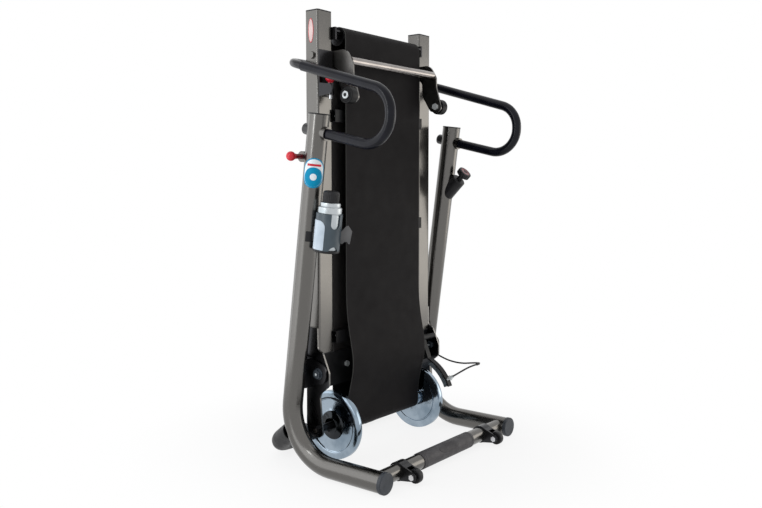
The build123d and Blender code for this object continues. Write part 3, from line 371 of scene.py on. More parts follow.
node_finishes = {
    frame_paint: (
        "upright_left", "upright_right", "rear_crossbar", "rail_left", "rail_right", "handle_sockets",
        "leg_pivot_bolts", "lock_housing",
    ),
    black_paint: (
        "handlebar", "pivot_brackets", "incline_bracket", "transport_brackets",
        # Painted shade: axle nuts, rear bearings, rear axle and rear roller tube are given black paint for
        # the shade they lie in
        "rear_roller_brackets", "belt_adjusters", "axle_nuts", "rear_bearings", "rear_axle",
        "rear_roller_tube",
    ),
    plate_paint: ("side_plate_left", "side_plate_right"),
    leg_paint: ("leg_plates",),
    # Painted shade: the stabiliser, cross members, brake arm and brake stud are given satin black for the
    # shade they lie in
    satin_black: ("front_stabiliser", "cross_members", "brake_arm", "brake_stud"),
    black_plastic: ("upright_top_caps", "rail_end_caps", "tension_housing", "bottle_clamp", "cable_grommet"),
    gloss_black: ("handle_plugs",),
    cap_rubber: ("rubber_feet",),
    sleeve_rubber: ("step_sleeve",),
    grip_foam: ("grips",),
    rod_steel: ("leg_rod", "front_axle"),
    steel: ("transport_bolts", "front_roller_tube", "front_bearings"),
    zinc: ("cable_adjuster", "leg_wheel_bolts", "board_screws"),
    pivot_steel: ("pivot_bolts",),
    slate_paint: ("brake_magnets",),
    chrome: ("flywheel_left", "flywheel_right"),
    belt_rubber: ("running_belt",),
    board_wood: ("running_board",),
}
for material, names in node_finishes.items():
    for name in names:
        mesh = nodes[name].data
        mesh.materials.clear()
        mesh.materials.append(material)


# Helpers that build pieces
def link_mesh(name, vertices, faces, material, sharp=SHARP_ANGLE):
    """Object from vertices and faces, smooth up to the sharp angle."""
    mesh = bpy.data.meshes.new(name)
    mesh.from_pydata([tuple(vertex) for vertex in vertices], [], faces)
    cleaned = bmesh.new()
    cleaned.from_mesh(mesh)
    bmesh.ops.remove_doubles(cleaned, verts=cleaned.verts, dist=MERGE_DISTANCE)
    bmesh.ops.recalc_face_normals(cleaned, faces=cleaned.faces)
    cleaned.to_mesh(mesh)
    cleaned.free()
    mesh.shade_smooth()
    mesh.set_sharp_from_angle(angle=math.radians(sharp))
    mesh.materials.append(material)
    made = bpy.data.objects.new(name, mesh)
    scene.collection.objects.link(made)
    return made


def piece(made, body, slot, *replaced):
    """Put an object on its body, in place of the nodes that it replaces; the slot is not used."""
    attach(made, body)
    if replaced:
        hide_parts(*replaced)


def turned(
    name, profile, origin, axis, material, segments=96, closed=False, ribs=0, rib_depth=0.0, ribbed=(),
):
    """Turned shape: a profile of radius and distance along the axis.

    Ribs cut flutes into the rings whose places in the profile are listed.
    """
    axis = Vector(axis).normalized()
    across = axis.orthogonal().normalized()
    other = axis.cross(across)
    vertices, faces, rings = [], [], []
    for index, (radius, along) in enumerate(profile):
        centre = Vector(origin) + axis * along
        ring = []
        for step in range(segments if radius > ON_AXIS else 1):
            angle = 2 * math.pi * step / segments
            flute = rib_depth * max(0.0, math.cos(ribs * angle)) ** 0.5 if index in ribbed else 0.0
            outward = across * math.cos(angle) + other * math.sin(angle)
            ring.append(len(vertices))
            vertices.append(centre + outward * max(0.0, radius - flute))
        rings.append(ring)
    pairs = list(zip(rings, rings[1:]))
    if closed:
        pairs.append((rings[-1], rings[0]))
    for lower, upper in pairs:
        for step in range(segments):
            follow = (step + 1) % segments
            corners = [lower[step % len(lower)], lower[follow % len(lower)]]
            corners += [upper[follow % len(upper)], upper[step % len(upper)]]
            face = list(dict.fromkeys(corners))
            if len(face) > 2:
                faces.append(face)
    return link_mesh(name, vertices, faces, material)


def tube(name, points, radius, material, sides=14):
    """Closed round tube along a line of points."""
    points = [Vector(point) for point in points]
    vertices, faces = [], []
    side = (points[1] - points[0]).orthogonal().normalized()
    for index, point in enumerate(points):
        ahead = points[min(index + 1, len(points) - 1)] - points[max(index - 1, 0)]
        ahead.normalize()
        side = (side - ahead * side.dot(ahead)).normalized()
        other = ahead.cross(side)
        for step in range(sides):
            angle = 2 * math.pi * step / sides
            vertices.append(point + (side * math.cos(angle) + other * math.sin(angle)) * radius)
    for index in range(len(points) - 1):
        for step in range(sides):
            follow = (step + 1) % sides
            low, high = index * sides, (index + 1) * sides
            faces.append([low + step, low + follow, high + follow, high + step])
    faces.append(list(range(sides))[::-1])
    faces.append([len(vertices) - sides + step for step in range(sides)])
    return link_mesh(name, vertices, faces, material, sharp=50.0)


def prism(name, outline, origin, across, upward, thickness, material):
    """Flat plate: an outline in its own plane, thickened evenly to both sides."""
    across, upward = Vector(across).normalized(), Vector(upward).normalized()
    normal = across.cross(upward).normalized()
    count = len(outline)
    vertices = []
    for offset in (-thickness / 2, thickness / 2):
        for right, up in outline:
            vertices.append(Vector(origin) + across * right + upward * up + normal * offset)
    faces = [list(range(count))[::-1], list(range(count, 2 * count))]
    for step in range(count):
        follow = (step + 1) % count
        faces.append([step, follow, count + follow, count + step])
    return link_mesh(name, vertices, faces, material)


def plate(name, outline, origin, across, upward, thickness, material, edge):
    """Flat plate with rounded edges."""
    made = prism(name, outline, origin, across, upward, thickness, material)
    soften(made, edge)
    return made


def soften(made, width, segments=2):
    """Round an object's sharp edges."""
    rounding = made.modifiers.new("edges", "BEVEL")
    rounding.width = width
    rounding.segments = segments
    rounding.limit_method = "ANGLE"
    rounding.angle_limit = math.radians(SHARP_ANGLE)
    rounding.harden_normals = True


def wrapped(name, centre, axis, facing, radius, lift, thickness, material, rows):
    """Thin sheet bent round a tube.

    Each row holds a height along the tube and the left and right edges round it.
    """
    axis = Vector(axis).normalized()
    facing = Vector(facing)
    facing = (facing - axis * facing.dot(axis)).normalized()
    sideways = axis.cross(facing)
    columns = 24
    vertices, faces = [], []
    for level in (lift, lift + thickness):
        for height, left, right in rows:
            for column in range(columns + 1):
                angle = (left + (right - left) * column / columns) / radius
                outward = facing * math.cos(angle) + sideways * math.sin(angle)
                vertices.append(Vector(centre) + axis * height + outward * (radius + level))
    stride = columns + 1
    layer = stride * len(rows)
    for row in range(len(rows) - 1):
        for column in range(columns):
            corner = row * stride + column
            quad = [corner, corner + 1, corner + stride + 1, corner + stride]
            faces.append(quad[::-1])
            faces.append([layer + index for index in quad])
    rim = list(range(stride))
    rim += [row * stride + columns for row in range(1, len(rows))]
    rim += [layer - 1 - column for column in range(1, stride)]
    rim += [row * stride for row in range(len(rows) - 2, 0, -1)]
    for step, corner in enumerate(rim):
        follow = rim[(step + 1) % len(rim)]
        faces.append([corner, follow, layer + follow, layer + corner])
    return link_mesh(name, vertices, faces, material, sharp=60.0)


def capsule_rows(half_width, half_height, steps=14):
    """Rows of a capsule outline: straight sides with round ends."""
    rows = []
    straight = half_height - half_width
    for step in range(steps + 1):
        turn = -math.pi / 2 + math.pi / 2 * step / steps
        half = max(LEAST_HALF_WIDTH, half_width * math.cos(turn))
        rows.append((-straight + half_width * math.sin(turn), -half, half))
    return rows + [(-height, left, right) for height, left, right in reversed(rows)]


def oval_outline(half_width, half_height, steps=48):
    """Points of an oval about its middle."""
    turns = [2 * math.pi * step / steps for step in range(steps)]
    return [(half_width * math.cos(turn), half_height * math.sin(turn)) for turn in turns]


def mirrored(half):
    """Whole profile from the half on the far side of its middle."""
    return [(radius, -along) for radius, along in reversed(half) if along > 0] + list(half)


# Brake cable: its sheath leaves the right upright, and a ferrule atop its loop joins it to the inner wire
CABLE_ROUTE = (
    (0.258, 0.008, 0.214),
    (0.255, -0.026, 0.203),
    (0.252, -0.062, 0.194),
    (0.251, -0.104, 0.192),
    (0.250, -0.142, 0.199),
    (0.239, -0.172, 0.205),
    (0.213, -0.183, 0.208),
    (0.188, -0.171, 0.203),
    (0.180, -0.147, 0.187),
    (0.178, -0.123, 0.171),
)
CABLE_RADIUS = 0.0023


def spline_points(name, route):
    """Points along the smooth line that a route's points control."""
    curve = bpy.data.curves.new(name, "CURVE")
    curve.dimensions = "3D"
    spline = curve.splines.new("NURBS")
    spline.points.add(len(route) - 1)
    for point, place in zip(spline.points, route):
        point.co = (*place, 1.0)
    spline.order_u = 3
    spline.use_endpoint_u = True
    spline.resolution_u = 12
    holder = bpy.data.objects.new(name, curve)
    scene.collection.objects.link(holder)
    bpy.context.view_layer.update()
    line = bpy.data.meshes.new_from_object(holder.evaluated_get(bpy.context.evaluated_depsgraph_get()))
    points = [vertex.co.copy() for vertex in line.vertices]
    bpy.data.objects.remove(holder)
    bpy.data.meshes.remove(line)
    return points


cable_line = spline_points("cable_route", CABLE_ROUTE)
apex = min(range(len(cable_line)), key=lambda index: cable_line[index].y)
sheath_line = cable_line[: apex + 1]
wire_line = cable_line[apex:]

sheath = tube("brake_cable_sheath", sheath_line, CABLE_RADIUS, cable_sheath)
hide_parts("brake_cable")
wire = tube("brake_cable_wire", wire_line, CABLE_RADIUS, cable_sheath)

ferrule_axis = (cable_line[apex + 1] - cable_line[apex - 1]).normalized()
FERRULE_BORE = CABLE_RADIUS * 0.9
FERRULE_PROFILE = (
    (FERRULE_BORE, -0.0075), (0.0031, -0.0072), (0.0034, -0.0064), (0.0034, 0.0056), (0.0031, 0.0064),
    (FERRULE_BORE, 0.0068),
)
ferrule = turned(
    "cable_ferrule", FERRULE_PROFILE, cable_line[apex], ferrule_axis, black_plastic, segments=32, closed=True
)
piece(ferrule, "deck", "cable_sheath")

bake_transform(sheath)
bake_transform(wire)

# Flywheels: turned discs with a dished face, a groove behind and a stepped hub
FLYWHEEL_PROFILE = (
    (0.0076, 0.1580), (0.0195, 0.1580), (0.0200, 0.1585), (0.0200, 0.1685), (0.0205, 0.1690),
    (0.0645, 0.1690), (0.0654, 0.1708), (0.0676, 0.1708), (0.0689, 0.1690), (0.0845, 0.1690),
    (0.0868, 0.1697), (0.0880, 0.1720), (0.0880, 0.1840), (0.0868, 0.1863), (0.0845, 0.1870),
    (0.0693, 0.1870), (0.0684, 0.1864), (0.0668, 0.1843), (0.0655, 0.1840), (0.0372, 0.1840),
    (0.0362, 0.1843), (0.0350, 0.1866), (0.0342, 0.1870), (0.0206, 0.1870), (0.0200, 0.1874),
    (0.0200, 0.1902), (0.0192, 0.1910), (0.0090, 0.1910), (0.0076, 0.1900),
)
FLYWHEEL_CENTRE = (0.0, ROLLER_Y, FRONT_ROLLER_Z)
for side, sign in SIDES:
    flywheel = turned(
        f"flywheel_disc_{side}", FLYWHEEL_PROFILE, FLYWHEEL_CENTRE, (sign, 0, 0), chrome,
        segments=192, closed=True,
    )
    piece(flywheel, "front_roller", "chrome", f"flywheel_{side}")

# Leg wheels: solid rollers with a moulded rim
LEG_WHEEL_PROFILE = (
    (0.00506, 0.1805), (0.0150, 0.1805), (0.0160, 0.1812), (0.0192, 0.1812), (0.0203, 0.1822),
    (0.0205, 0.1850), (0.0205, 0.1990), (0.0203, 0.2018), (0.0192, 0.2030), (0.0165, 0.2032),
    (0.0155, 0.2026), (0.0120, 0.2026), (0.0112, 0.2034), (0.00506, 0.2034),
)
for side, sign in SIDES:
    wheel = turned(
        f"leg_roller_{side}", LEG_WHEEL_PROFILE, LEG_WHEEL_PLACE, (sign, 0, 0), satin_black,
        segments=72, closed=True,
    )
    piece(wheel, f"leg_wheel_{side}", "black_plastic", f"leg_wheel_{side}")

# Step sleeve: grooved ends and an oval pad on the side that is stepped on
SLEEVE_PLACE = (0.0, -0.214, 0.0252)
SLEEVE_RADIUS = 0.0210
SLEEVE_HALF = 0.112
SLEEVE_BORE = 0.01905
GROOVE_RADIUS = SLEEVE_RADIUS - 0.0006
HALF_SLEEVE = (
    (SLEEVE_RADIUS, 0.0), (SLEEVE_RADIUS, SLEEVE_HALF - 0.0110), (GROOVE_RADIUS, SLEEVE_HALF - 0.0102),
    (GROOVE_RADIUS, SLEEVE_HALF - 0.0086), (SLEEVE_RADIUS, SLEEVE_HALF - 0.0078),
    (SLEEVE_RADIUS, SLEEVE_HALF - 0.0012), (SLEEVE_RADIUS - 0.0008, SLEEVE_HALF), (SLEEVE_BORE, SLEEVE_HALF),
)
PAD_FACING = (0.0, -0.75, 0.66)
PAD_HALF_WIDTH = 0.0125
PAD_HALF_LENGTH = 0.042
PAD_SINK = -0.0002
PAD_THICKNESS = 0.0009
PAD_STEPS = 32
sleeve = turned(
    "step_grip", mirrored(HALF_SLEEVE), SLEEVE_PLACE, (1, 0, 0), sleeve_rubber, segments=96, closed=True
)
piece(sleeve, "base", "grey_rubber", "step_sleeve")
pad_rows = []
for step in range(PAD_STEPS + 1):
    turn = -math.pi / 2 + math.pi * step / PAD_STEPS
    half = max(LEAST_HALF_WIDTH, PAD_HALF_WIDTH * math.cos(turn))
    pad_rows.append((PAD_HALF_LENGTH * math.sin(turn), -half, half))
pad = wrapped(
    "step_pad", SLEEVE_PLACE, (1, 0, 0), PAD_FACING, SLEEVE_RADIUS, PAD_SINK, PAD_THICKNESS,
    pad_rubber, pad_rows,
)
piece(pad, "base", "grey_rubber")

# Black discs in the heads of the leg wheel bolts, painted shade in their socket recesses
SOCKET_SHADE_PROFILE = (
    (0.0, 0.2064), (0.0044, 0.2064), (0.0046, 0.2067), (0.0046, 0.2071), (0.0043, 0.2074),
    (0.0036, 0.2074), (0.0033, 0.2070), (0.0, 0.2070),
)
for side, sign in SIDES:
    socket = turned(
        f"leg_bolt_socket_shade_{side}", SOCKET_SHADE_PROFILE, LEG_WHEEL_PLACE, (sign, 0, 0), black_plastic, segments=48
    )
    piece(socket, "incline_leg", "black_plastic")

# Transport wheels: solid rollers, the same on both faces
HALF_TRANSPORT_WHEEL = (
    (0.0175, 0.0040), (0.0172, 0.0062), (0.0158, 0.0078), (0.0135, 0.0076), (0.0125, 0.0066),
    (0.0082, 0.0072), (0.0075, 0.0080), (0.00406, 0.0080),
)
TRANSPORT_X = 0.186
TRANSPORT_Y = -0.259
TRANSPORT_Z = 0.021
for side, sign in SIDES:
    wheel = turned(
        f"transport_roller_{side}", mirrored(HALF_TRANSPORT_WHEEL),
        (sign * TRANSPORT_X, TRANSPORT_Y, TRANSPORT_Z), (1, 0, 0), black_plastic, segments=72, closed=True,
    )
    piece(wheel, f"transport_wheel_{side}", "black_plastic", f"transport_wheel_{side}")


# Pull pins: a red ball on a steel shank
def ball_profile(radius, neck_radius, neck_end):
    """Ball centred on the start of its axis, running into a short neck."""
    profile = [(0.0, -radius)]
    last = math.asin(neck_radius / radius)
    steps = 26
    bevel = 0.0005
    root = 0.0006
    for step in range(1, steps + 1):
        turn = math.pi * step / steps
        if turn > math.pi - last:
            break
        profile.append((radius * math.sin(turn), -radius * math.cos(turn)))
    profile += [(neck_radius, radius * math.cos(last) + root), (neck_radius, neck_end - bevel)]
    profile += [(neck_radius - bevel, neck_end), (0.0, neck_end)]
    return profile


LOCK_PLACE = (-0.316, 0.012, 0.768)
LOCK_AXIS = (1, 0, 0)
LOCK_BALL = ball_profile(radius=0.0115, neck_radius=0.0072, neck_end=0.0128)
LOCK_SLEEVE = ((0.0, 0.0120), (0.0060, 0.0120), (0.0060, 0.0460), (0.0, 0.0460))
LOCK_SHANK = ((0.0, 0.0455), (0.0060, 0.0455), (0.0060, 0.0785), (0.0045, 0.0800), (0.0, 0.0800))
lock_ball = turned("lock_ball", LOCK_BALL, LOCK_PLACE, LOCK_AXIS, red_plastic, segments=64)
piece(lock_ball, "lock_pin", "red_plastic", "lock_pin")
lock_sleeve = turned("lock_sleeve", LOCK_SLEEVE, LOCK_PLACE, LOCK_AXIS, dark_red_plastic, segments=48)
piece(lock_sleeve, "lock_pin", "red_plastic")
lock_shank = turned("lock_shank", LOCK_SHANK, LOCK_PLACE, LOCK_AXIS, steel, segments=48)
piece(lock_shank, "lock_pin", "steel")

INCLINE_PLACE = (-0.216, -0.024, 0.957)
INCLINE_AXIS = (0, 0, -1)
INCLINE_BALL = ball_profile(radius=0.0120, neck_radius=0.0062, neck_end=0.0128)
INCLINE_SHANK = ((0.0, 0.0110), (0.0040, 0.0110), (0.0040, 0.0500), (0.0030, 0.0510), (0.0, 0.0510))
incline_ball = turned("incline_ball", INCLINE_BALL, INCLINE_PLACE, INCLINE_AXIS, red_plastic, segments=64)
piece(incline_ball, "incline_pin", "red_plastic", "incline_pin")
incline_shank = turned("incline_shank", INCLINE_SHANK, INCLINE_PLACE, INCLINE_AXIS, steel, segments=48)
piece(incline_shank, "incline_pin", "steel")

# Tension knob: fluted grip on a neck, with a dark red cap
TENSION_TOP = Vector((UPRIGHT_X, -0.072, 0.717))
TENSION_AXIS = Vector((0.0, -1.0, 1.0)).normalized()
KNOB_PROFILE = (
    (0.0, -0.0240), (0.0040, -0.0240), (0.0040, 0.0005), (0.0076, 0.0005), (0.0080, 0.0010),
    (0.0080, 0.0135), (0.0090, 0.0148), (0.0170, 0.0150), (0.0190, 0.0156), (0.0200, 0.0172),
    (0.0200, 0.0275), (0.0192, 0.0291), (0.0172, 0.0298), (0.0, 0.0298),
)
KNOB_CAP_PROFILE = (
    (0.0060, 0.0294), (0.0140, 0.0294), (0.0142, 0.0297), (0.0138, 0.0300), (0.0064, 0.0300),
    (0.0060, 0.0298),
)
knob = turned(
    "tension_grip", KNOB_PROFILE, TENSION_TOP, TENSION_AXIS, black_plastic, segments=192,
    ribs=12, rib_depth=0.0012, ribbed=(9, 10),
)
piece(knob, "tension_knob", "black_plastic", "tension_knob")
knob_cap = turned(
    "tension_cap", KNOB_CAP_PROFILE, TENSION_TOP, TENSION_AXIS, dark_red_plastic, segments=64, closed=True
)
piece(knob_cap, "tension_knob", "red_plastic")

# Bottle: metal body, stepped silver collar, fluted cap
BOTTLE_FOOT_Z = 0.548
BOTTLE_OFFSET = 0.062
BOTTLE_ROOT = Vector((-UPRIGHT_X, upright_y(BOTTLE_FOOT_Z) - BOTTLE_OFFSET, BOTTLE_FOOT_Z))
BOTTLE_PROFILE = (
    (0.0, 0.0), (0.0255, 0.0), (0.0272, 0.0008), (0.0280, 0.0026), (0.0280, 0.0840), (0.0272, 0.0868),
    (0.0262, 0.0880), (0.0, 0.0880),
)
COLLAR_PROFILE = (
    (0.0, 0.0876), (0.0268, 0.0876), (0.0279, 0.0886), (0.0280, 0.0900), (0.0280, 0.1000),
    (0.0276, 0.1018), (0.0262, 0.1032), (0.0240, 0.1040), (0.0236, 0.1048), (0.0238, 0.1058),
    (0.0238, 0.1105), (0.0232, 0.1122), (0.0218, 0.1132), (0.0, 0.1132),
)
LID_PROFILE = (
    (0.0, 0.1130), (0.0182, 0.1130), (0.0190, 0.1138), (0.0195, 0.1150), (0.0195, 0.1330),
    (0.0188, 0.1362), (0.0168, 0.1388), (0.0140, 0.1398), (0.0100, 0.1400), (0.0, 0.1400),
)
bottle = turned("bottle_body", BOTTLE_PROFILE, BOTTLE_ROOT, UPRIGHT_AXIS, satin_silver, segments=96)
piece(bottle, "bottle", "bottle_plastic", "bottle")
collar = turned("bottle_collar", COLLAR_PROFILE, BOTTLE_ROOT, UPRIGHT_AXIS, satin_silver, segments=96)
piece(collar, "bottle", "bottle_plastic")
lid = turned(
    "bottle_lid", LID_PROFILE, BOTTLE_ROOT, UPRIGHT_AXIS, black_plastic, segments=180,
    ribs=30, rib_depth=0.0009, ribbed=(3, 4),
)
piece(lid, "bottle", "black_plastic", "bottle_cap")


def carve(made, cutter):
    """Cut one closed mesh out of another and keep the result as the mesh."""
    cut = made.modifiers.new("cut", "BOOLEAN")
    cut.operation = "DIFFERENCE"
    cut.object = cutter
    bpy.context.view_layer.update()
    carved = bpy.data.meshes.new_from_object(made.evaluated_get(bpy.context.evaluated_depsgraph_get()))
    made.modifiers.clear()
    made.data = carved
    bpy.data.objects.remove(cutter)
    carved.shade_smooth()
    carved.set_sharp_from_angle(angle=math.radians(SHARP_ANGLE))


# Bottle cage: notched and scooped slate shell, a pale side panel, a foot, a wing and a bracket
CAGE_INNER = 0.0286
CAGE_OUTER = 0.0310
CAGE_HEIGHT = 0.088
NOTCH_OUTWARD = Vector((-0.275, -0.952, -0.1274)).normalized()
NOTCH_HEIGHT = 0.065
NOTCH_RADIUS = 0.0115
NOTCH_TOP = CAGE_HEIGHT + 0.01
NOTCH_STEPS = 24
SCOOP_RADIUS = 0.0120
CUTTER_REACH = 0.034
CUTTER_DEPTH = 0.036
REAR_LEFT = Vector((-0.744, -0.668, 0.0))
CAGE_PROFILE = (
    (CAGE_INNER, 0.0), (CAGE_OUTER, 0.0), (CAGE_OUTER, CAGE_HEIGHT - 0.0010),
    (CAGE_OUTER - 0.0004, CAGE_HEIGHT - 0.0003), (CAGE_OUTER - 0.0010, CAGE_HEIGHT),
    (CAGE_INNER + 0.0004, CAGE_HEIGHT), (CAGE_INNER, CAGE_HEIGHT - 0.0004),
)

cage = turned("cage_shell", CAGE_PROFILE, BOTTLE_ROOT, UPRIGHT_AXIS, slate_plastic, segments=128, closed=True)
notch_outline = [(NOTCH_RADIUS, NOTCH_TOP), (-NOTCH_RADIUS, NOTCH_TOP)]
for step in range(NOTCH_STEPS + 1):
    turn = math.pi * step / NOTCH_STEPS
    notch_outline.append((-NOTCH_RADIUS * math.cos(turn), NOTCH_HEIGHT - NOTCH_RADIUS * math.sin(turn)))
cutter_place = BOTTLE_ROOT + NOTCH_OUTWARD * CUTTER_REACH
cutter_across = UPRIGHT_AXIS.cross(NOTCH_OUTWARD)
for outline in (notch_outline, oval_outline(SCOOP_RADIUS, SCOOP_RADIUS)):
    cutter = prism(
        "cutter", outline, cutter_place, cutter_across, UPRIGHT_AXIS, CUTTER_DEPTH, slate_plastic
    )
    carve(cage, cutter)
soften(cage, width=0.0005)
piece(cage, "base", "cage_plastic", "bottle_cage")

PANEL_LEFT = -0.0502
PANEL_RIGHT = -0.0080
PANEL_LOW = 0.0030
PANEL_HIGH = 0.0715
PANEL_CORNER = 0.0160
PANEL_BEVEL = 0.0010
PANEL_SINK = -0.0002
PANEL_THICKNESS = 0.0011
PANEL_STEPS = 16
panel_rows = [
    (PANEL_LOW, PANEL_LEFT, PANEL_RIGHT - PANEL_BEVEL),
    (PANEL_LOW + PANEL_BEVEL, PANEL_LEFT, PANEL_RIGHT),
]
for step in range(PANEL_STEPS + 1):
    turn = math.pi / 2 * step / PANEL_STEPS
    right = PANEL_RIGHT - PANEL_CORNER * (1.0 - math.cos(turn))
    panel_rows.append((PANEL_HIGH - PANEL_CORNER * (1.0 - math.sin(turn)), PANEL_LEFT, right))
panel = wrapped(
    "cage_panel", BOTTLE_ROOT, UPRIGHT_AXIS, REAR_LEFT, CAGE_OUTER, PANEL_SINK, PANEL_THICKNESS,
    pale_plastic, panel_rows,
)
piece(panel, "base", "cage_plastic")

FOOT_PROFILE = (
    (0.0, -0.0040), (0.0290, -0.0040), (0.0308, -0.0032), (0.0314, -0.0018), (0.0314, 0.0012),
    (0.0308, 0.0022), (0.0290, 0.0000), (0.0, 0.0000),
)
foot = turned("cage_foot", FOOT_PROFILE, BOTTLE_ROOT, UPRIGHT_AXIS, black_plastic, segments=96)
piece(foot, "base", "cage_plastic")

WING_OUTWARD = Vector((0.6, -0.8, 0.0))
WING_THICKNESS = 0.0030
WING_OUTLINE = (
    (0.0300, 0.0170), (0.0360, 0.0140), (0.0400, 0.0190), (0.0470, 0.0200), (0.0500, 0.0150),
    (0.0540, 0.0140), (0.0570, 0.0440), (0.0470, 0.0580), (0.0420, 0.0575), (0.0300, 0.0430),
)
wing = plate(
    "cage_wing", WING_OUTLINE, BOTTLE_ROOT, WING_OUTWARD, UPRIGHT_AXIS, WING_THICKNESS, wing_plastic,
    edge=0.0007,
)
piece(wing, "base", "cage_plastic")

BRACKET_HALF = 0.013
BRACKET_HEIGHT = 0.034
BRACKET_THICKNESS = 0.0070
BRACKET_LIFT = 0.022
BRACKET_OFFSET = Vector((0.0, 0.0338, 0.0))
bracket_outline = (
    (-BRACKET_HALF, 0.0), (BRACKET_HALF, 0.0),
    (BRACKET_HALF, BRACKET_HEIGHT), (-BRACKET_HALF, BRACKET_HEIGHT),
)
bracket = plate(
    "cage_bracket", bracket_outline, BOTTLE_ROOT + UPRIGHT_AXIS * BRACKET_LIFT + BRACKET_OFFSET, (1, 0, 0),
    UPRIGHT_AXIS, BRACKET_THICKNESS, black_plastic, edge=0.0010,
)
piece(bracket, "base", "cage_plastic")

# Labels: a plain capsule on the left upright and a plain oval on the left rail
LABEL_Z = 0.730
LABEL_PLACE = Vector((-UPRIGHT_X, upright_y(LABEL_Z), LABEL_Z))
LABEL_THICKNESS = 0.0003
DISC_DROP = 0.0092
STRIPE_LOW = 0.0160
STRIPE_HALF = 0.0165
STRIPE_STEP = 0.0013
STRIPE_ROWS = 5


def lowered_rows(half_width, half_height):
    """Rows of a capsule in the lower part of the label."""
    rows = capsule_rows(half_width, half_height)
    return [(height - DISC_DROP, left, right) for height, left, right in rows]


stripe_rows = [(STRIPE_LOW + STRIPE_STEP * step, -STRIPE_HALF, STRIPE_HALF) for step in range(STRIPE_ROWS)]
LABEL_LAYERS = (
    ("label_border", blue_label, capsule_rows(0.0270, 0.0350), 0.0001),
    ("label_ground", white_label, capsule_rows(0.0240, 0.0320), 0.0004),
    ("label_disc", blue_label, lowered_rows(0.0226, 0.0227), 0.0006),
    ("label_stripe_upper", red_plastic, stripe_rows, 0.0006),
    ("label_dot", white_label, lowered_rows(0.0078, 0.0079), 0.0008),
)
for name, material, rows, lift in LABEL_LAYERS:
    label = wrapped(
        name, LABEL_PLACE, UPRIGHT_AXIS, REAR_LEFT, UPRIGHT_RADIUS, lift, LABEL_THICKNESS, material, rows
    )
    piece(label, "base", "cage_plastic")

RAIL_LABEL_PLACE = Vector((-0.2342, 0.0219, 1.0708))
RAIL_LABEL_THICKNESS = 0.0004
RAIL_LABEL_LAYERS = (
    ("rail_label_rim", red_plastic, oval_outline(0.0082, 0.0290), 0.0),
    ("rail_label", pink_label, oval_outline(0.0068, 0.0270), 0.0002),
)
for name, material, outline, lift in RAIL_LABEL_LAYERS:
    oval_place = RAIL_LABEL_PLACE - Vector((lift, 0.0, 0.0))
    oval = plate(
        name, outline, oval_place, (0, 1, 0), (0, 0, 1), RAIL_LABEL_THICKNESS, material, edge=0.0001
    )
    piece(oval, "deck", "red_plastic")

# Cut plates show thin rounded edges
CUT_PLATES = (
    "side_plate_left", "side_plate_right", "pivot_brackets", "incline_bracket", "leg_plates", "brake_arm",
)
for name in CUT_PLATES:
    soften(nodes[name], width=0.0008)


# Studio: pale floor, soft lamps and white surroundings
FLOOR_RADIUS = 0.82
FLOOR_STEPS = 96
FLOOR_SHADE = (0.86, 0.86, 0.86, 1.0)
FLOOR_FADE = (0.3, FLOOR_RADIUS * 0.95)
FLOOR_WHITE = (0.84, 1.0)
AMBIENT_LEVEL = 0.66
BACKDROP_LEVEL = 1.0


def white_rays(tree):
    """1 for what the camera sees, straight, mirrored in gloss or through glass; else 0."""
    rays = tree.nodes.new("ShaderNodeLightPath")
    seen = rays.outputs["Is Camera Ray"]
    for kind in ("Is Glossy Ray", "Is Transmission Ray"):
        either = tree.nodes.new("ShaderNodeMath")
        either.operation = "MAXIMUM"
        tree.links.new(seen, either.inputs[0])
        tree.links.new(rays.outputs[kind], either.inputs[1])
        seen = either.outputs["Value"]
    return seen


def mixed(tree, factor, first, second):
    """Mix of two shaders."""
    made = tree.nodes.new("ShaderNodeMixShader")
    for socket, source in zip(made.inputs, (factor, first, second)):
        tree.links.new(source, socket)
    return made.outputs["Shader"]


def studio_floor():
    """Pale floor that keeps the object's shadow and fades into the white backdrop at its rim."""
    material = bpy.data.materials.new("studio_floor")
    material.use_nodes = True
    tree = material.node_tree
    tree.nodes.clear()
    output = tree.nodes.new("ShaderNodeOutputMaterial")
    place = tree.nodes.new("ShaderNodeTexCoord")
    reach = tree.nodes.new("ShaderNodeVectorMath")
    reach.operation = "LENGTH"
    tree.links.new(place.outputs["Object"], reach.inputs[0])
    fading = tree.nodes.new("ShaderNodeMapRange")
    fading.interpolation_type = "SMOOTHSTEP"
    fading.inputs["From Min"].default_value, fading.inputs["From Max"].default_value = FLOOR_FADE
    fading.inputs["To Min"].default_value, fading.inputs["To Max"].default_value = FLOOR_WHITE
    tree.links.new(reach.outputs["Value"], fading.inputs["Value"])
    share = tree.nodes.new("ShaderNodeMath")
    share.operation = "MULTIPLY"
    tree.links.new(white_rays(tree), share.inputs[0])
    tree.links.new(fading.outputs["Result"], share.inputs[1])
    matt = tree.nodes.new("ShaderNodeBsdfDiffuse")
    matt.inputs["Color"].default_value = FLOOR_SHADE
    white = tree.nodes.new("ShaderNodeEmission")
    surface = mixed(tree, share.outputs["Value"], matt.outputs["BSDF"], white.outputs["Emission"])
    tree.links.new(surface, output.inputs["Surface"])
    vertices = [(x, y, 0.0) for x, y in oval_outline(FLOOR_RADIUS, FLOOR_RADIUS, FLOOR_STEPS)]
    link_mesh("floor", vertices, [list(range(FLOOR_STEPS))], material)


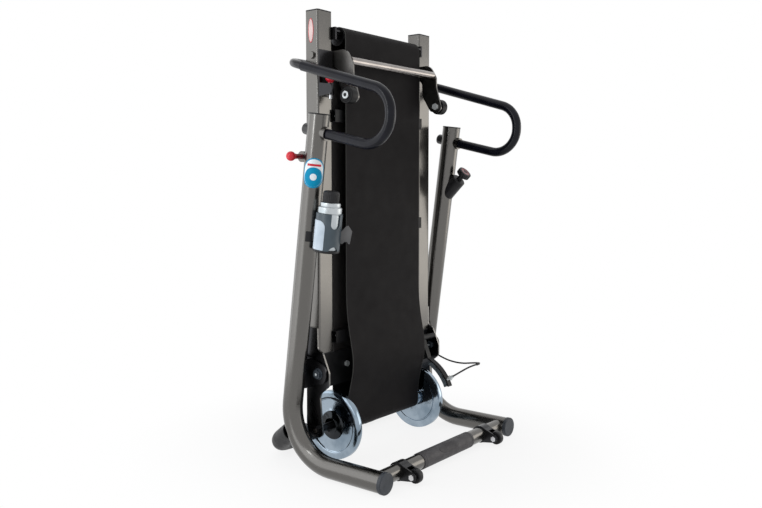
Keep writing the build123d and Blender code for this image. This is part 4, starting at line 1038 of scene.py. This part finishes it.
def studio_world():
    """White backdrop to the camera, in gloss and through glass; dimmer as light on the object."""
    world = bpy.data.worlds.new("studio")
    scene.world = world
    world.use_nodes = True
    tree = world.node_tree
    tree.nodes.clear()
    output = tree.nodes.new("ShaderNodeOutputWorld")

    def background(strength):
        made = tree.nodes.new("ShaderNodeBackground")
        made.inputs["Color"].default_value = (1.0, 1.0, 1.0, 1.0)
        made.inputs["Strength"].default_value = strength
        return made.outputs["Background"]

    surface = mixed(tree, white_rays(tree), background(AMBIENT_LEVEL), background(BACKDROP_LEVEL))
    tree.links.new(surface, output.inputs["Surface"])


def softbox(name, place, target, width, height, power, colour):
    """Rectangular lamp turned to its target, out of the camera's sight."""
    data = bpy.data.lights.new(name, "AREA")
    data.shape = "RECTANGLE"
    data.size = width
    data.size_y = height
    data.energy = power
    data.color = colour
    lamp = bpy.data.objects.new(name, data)
    lamp.location = place
    lamp.rotation_euler = (Vector(target) - Vector(place)).to_track_quat("-Z", "Y").to_euler()
    lamp.visible_camera = False
    scene.collection.objects.link(lamp)


studio_floor()
studio_world()
COOL = (0.95, 0.975, 1.0)
WARM = (1.0, 0.945, 0.86)
NEUTRAL = (1.0, 1.0, 1.0)
TALL = 1.34
softbox(
    "softbox_left_near", (-1.05, 0.075, 0.73), (0.0, -0.305, 0.73),
    width=0.30, height=TALL, power=1.5, colour=COOL,
)
softbox(
    "softbox_left_strip", (-1.04, -0.01, 1.05), (0.0, -0.20, 1.05),
    width=0.11, height=0.60, power=1.30, colour=COOL,
)
softbox(
    "softbox_left_far", (-0.869, 0.451, 0.73), (0.031, 0.021, 0.73),
    width=0.5525, height=TALL, power=2.25, colour=COOL,
)
softbox(
    "softbox_left_back", (-0.52, 0.95, 0.73), (-0.34, 0.0, 0.73),
    width=0.50, height=TALL, power=2.2, colour=COOL,
)
softbox(
    "softbox_right", (2.22, -1.88, 0.70), (0.0, 0.0, 0.70),
    width=1.7, height=1.50, power=14.5, colour=WARM,
)
softbox(
    "softbox_top", (0.2, 0.3, 3.0), (0.0, 0.0, 0.4),
    width=2.4, height=2.4, power=7.0, colour=NEUTRAL,
)
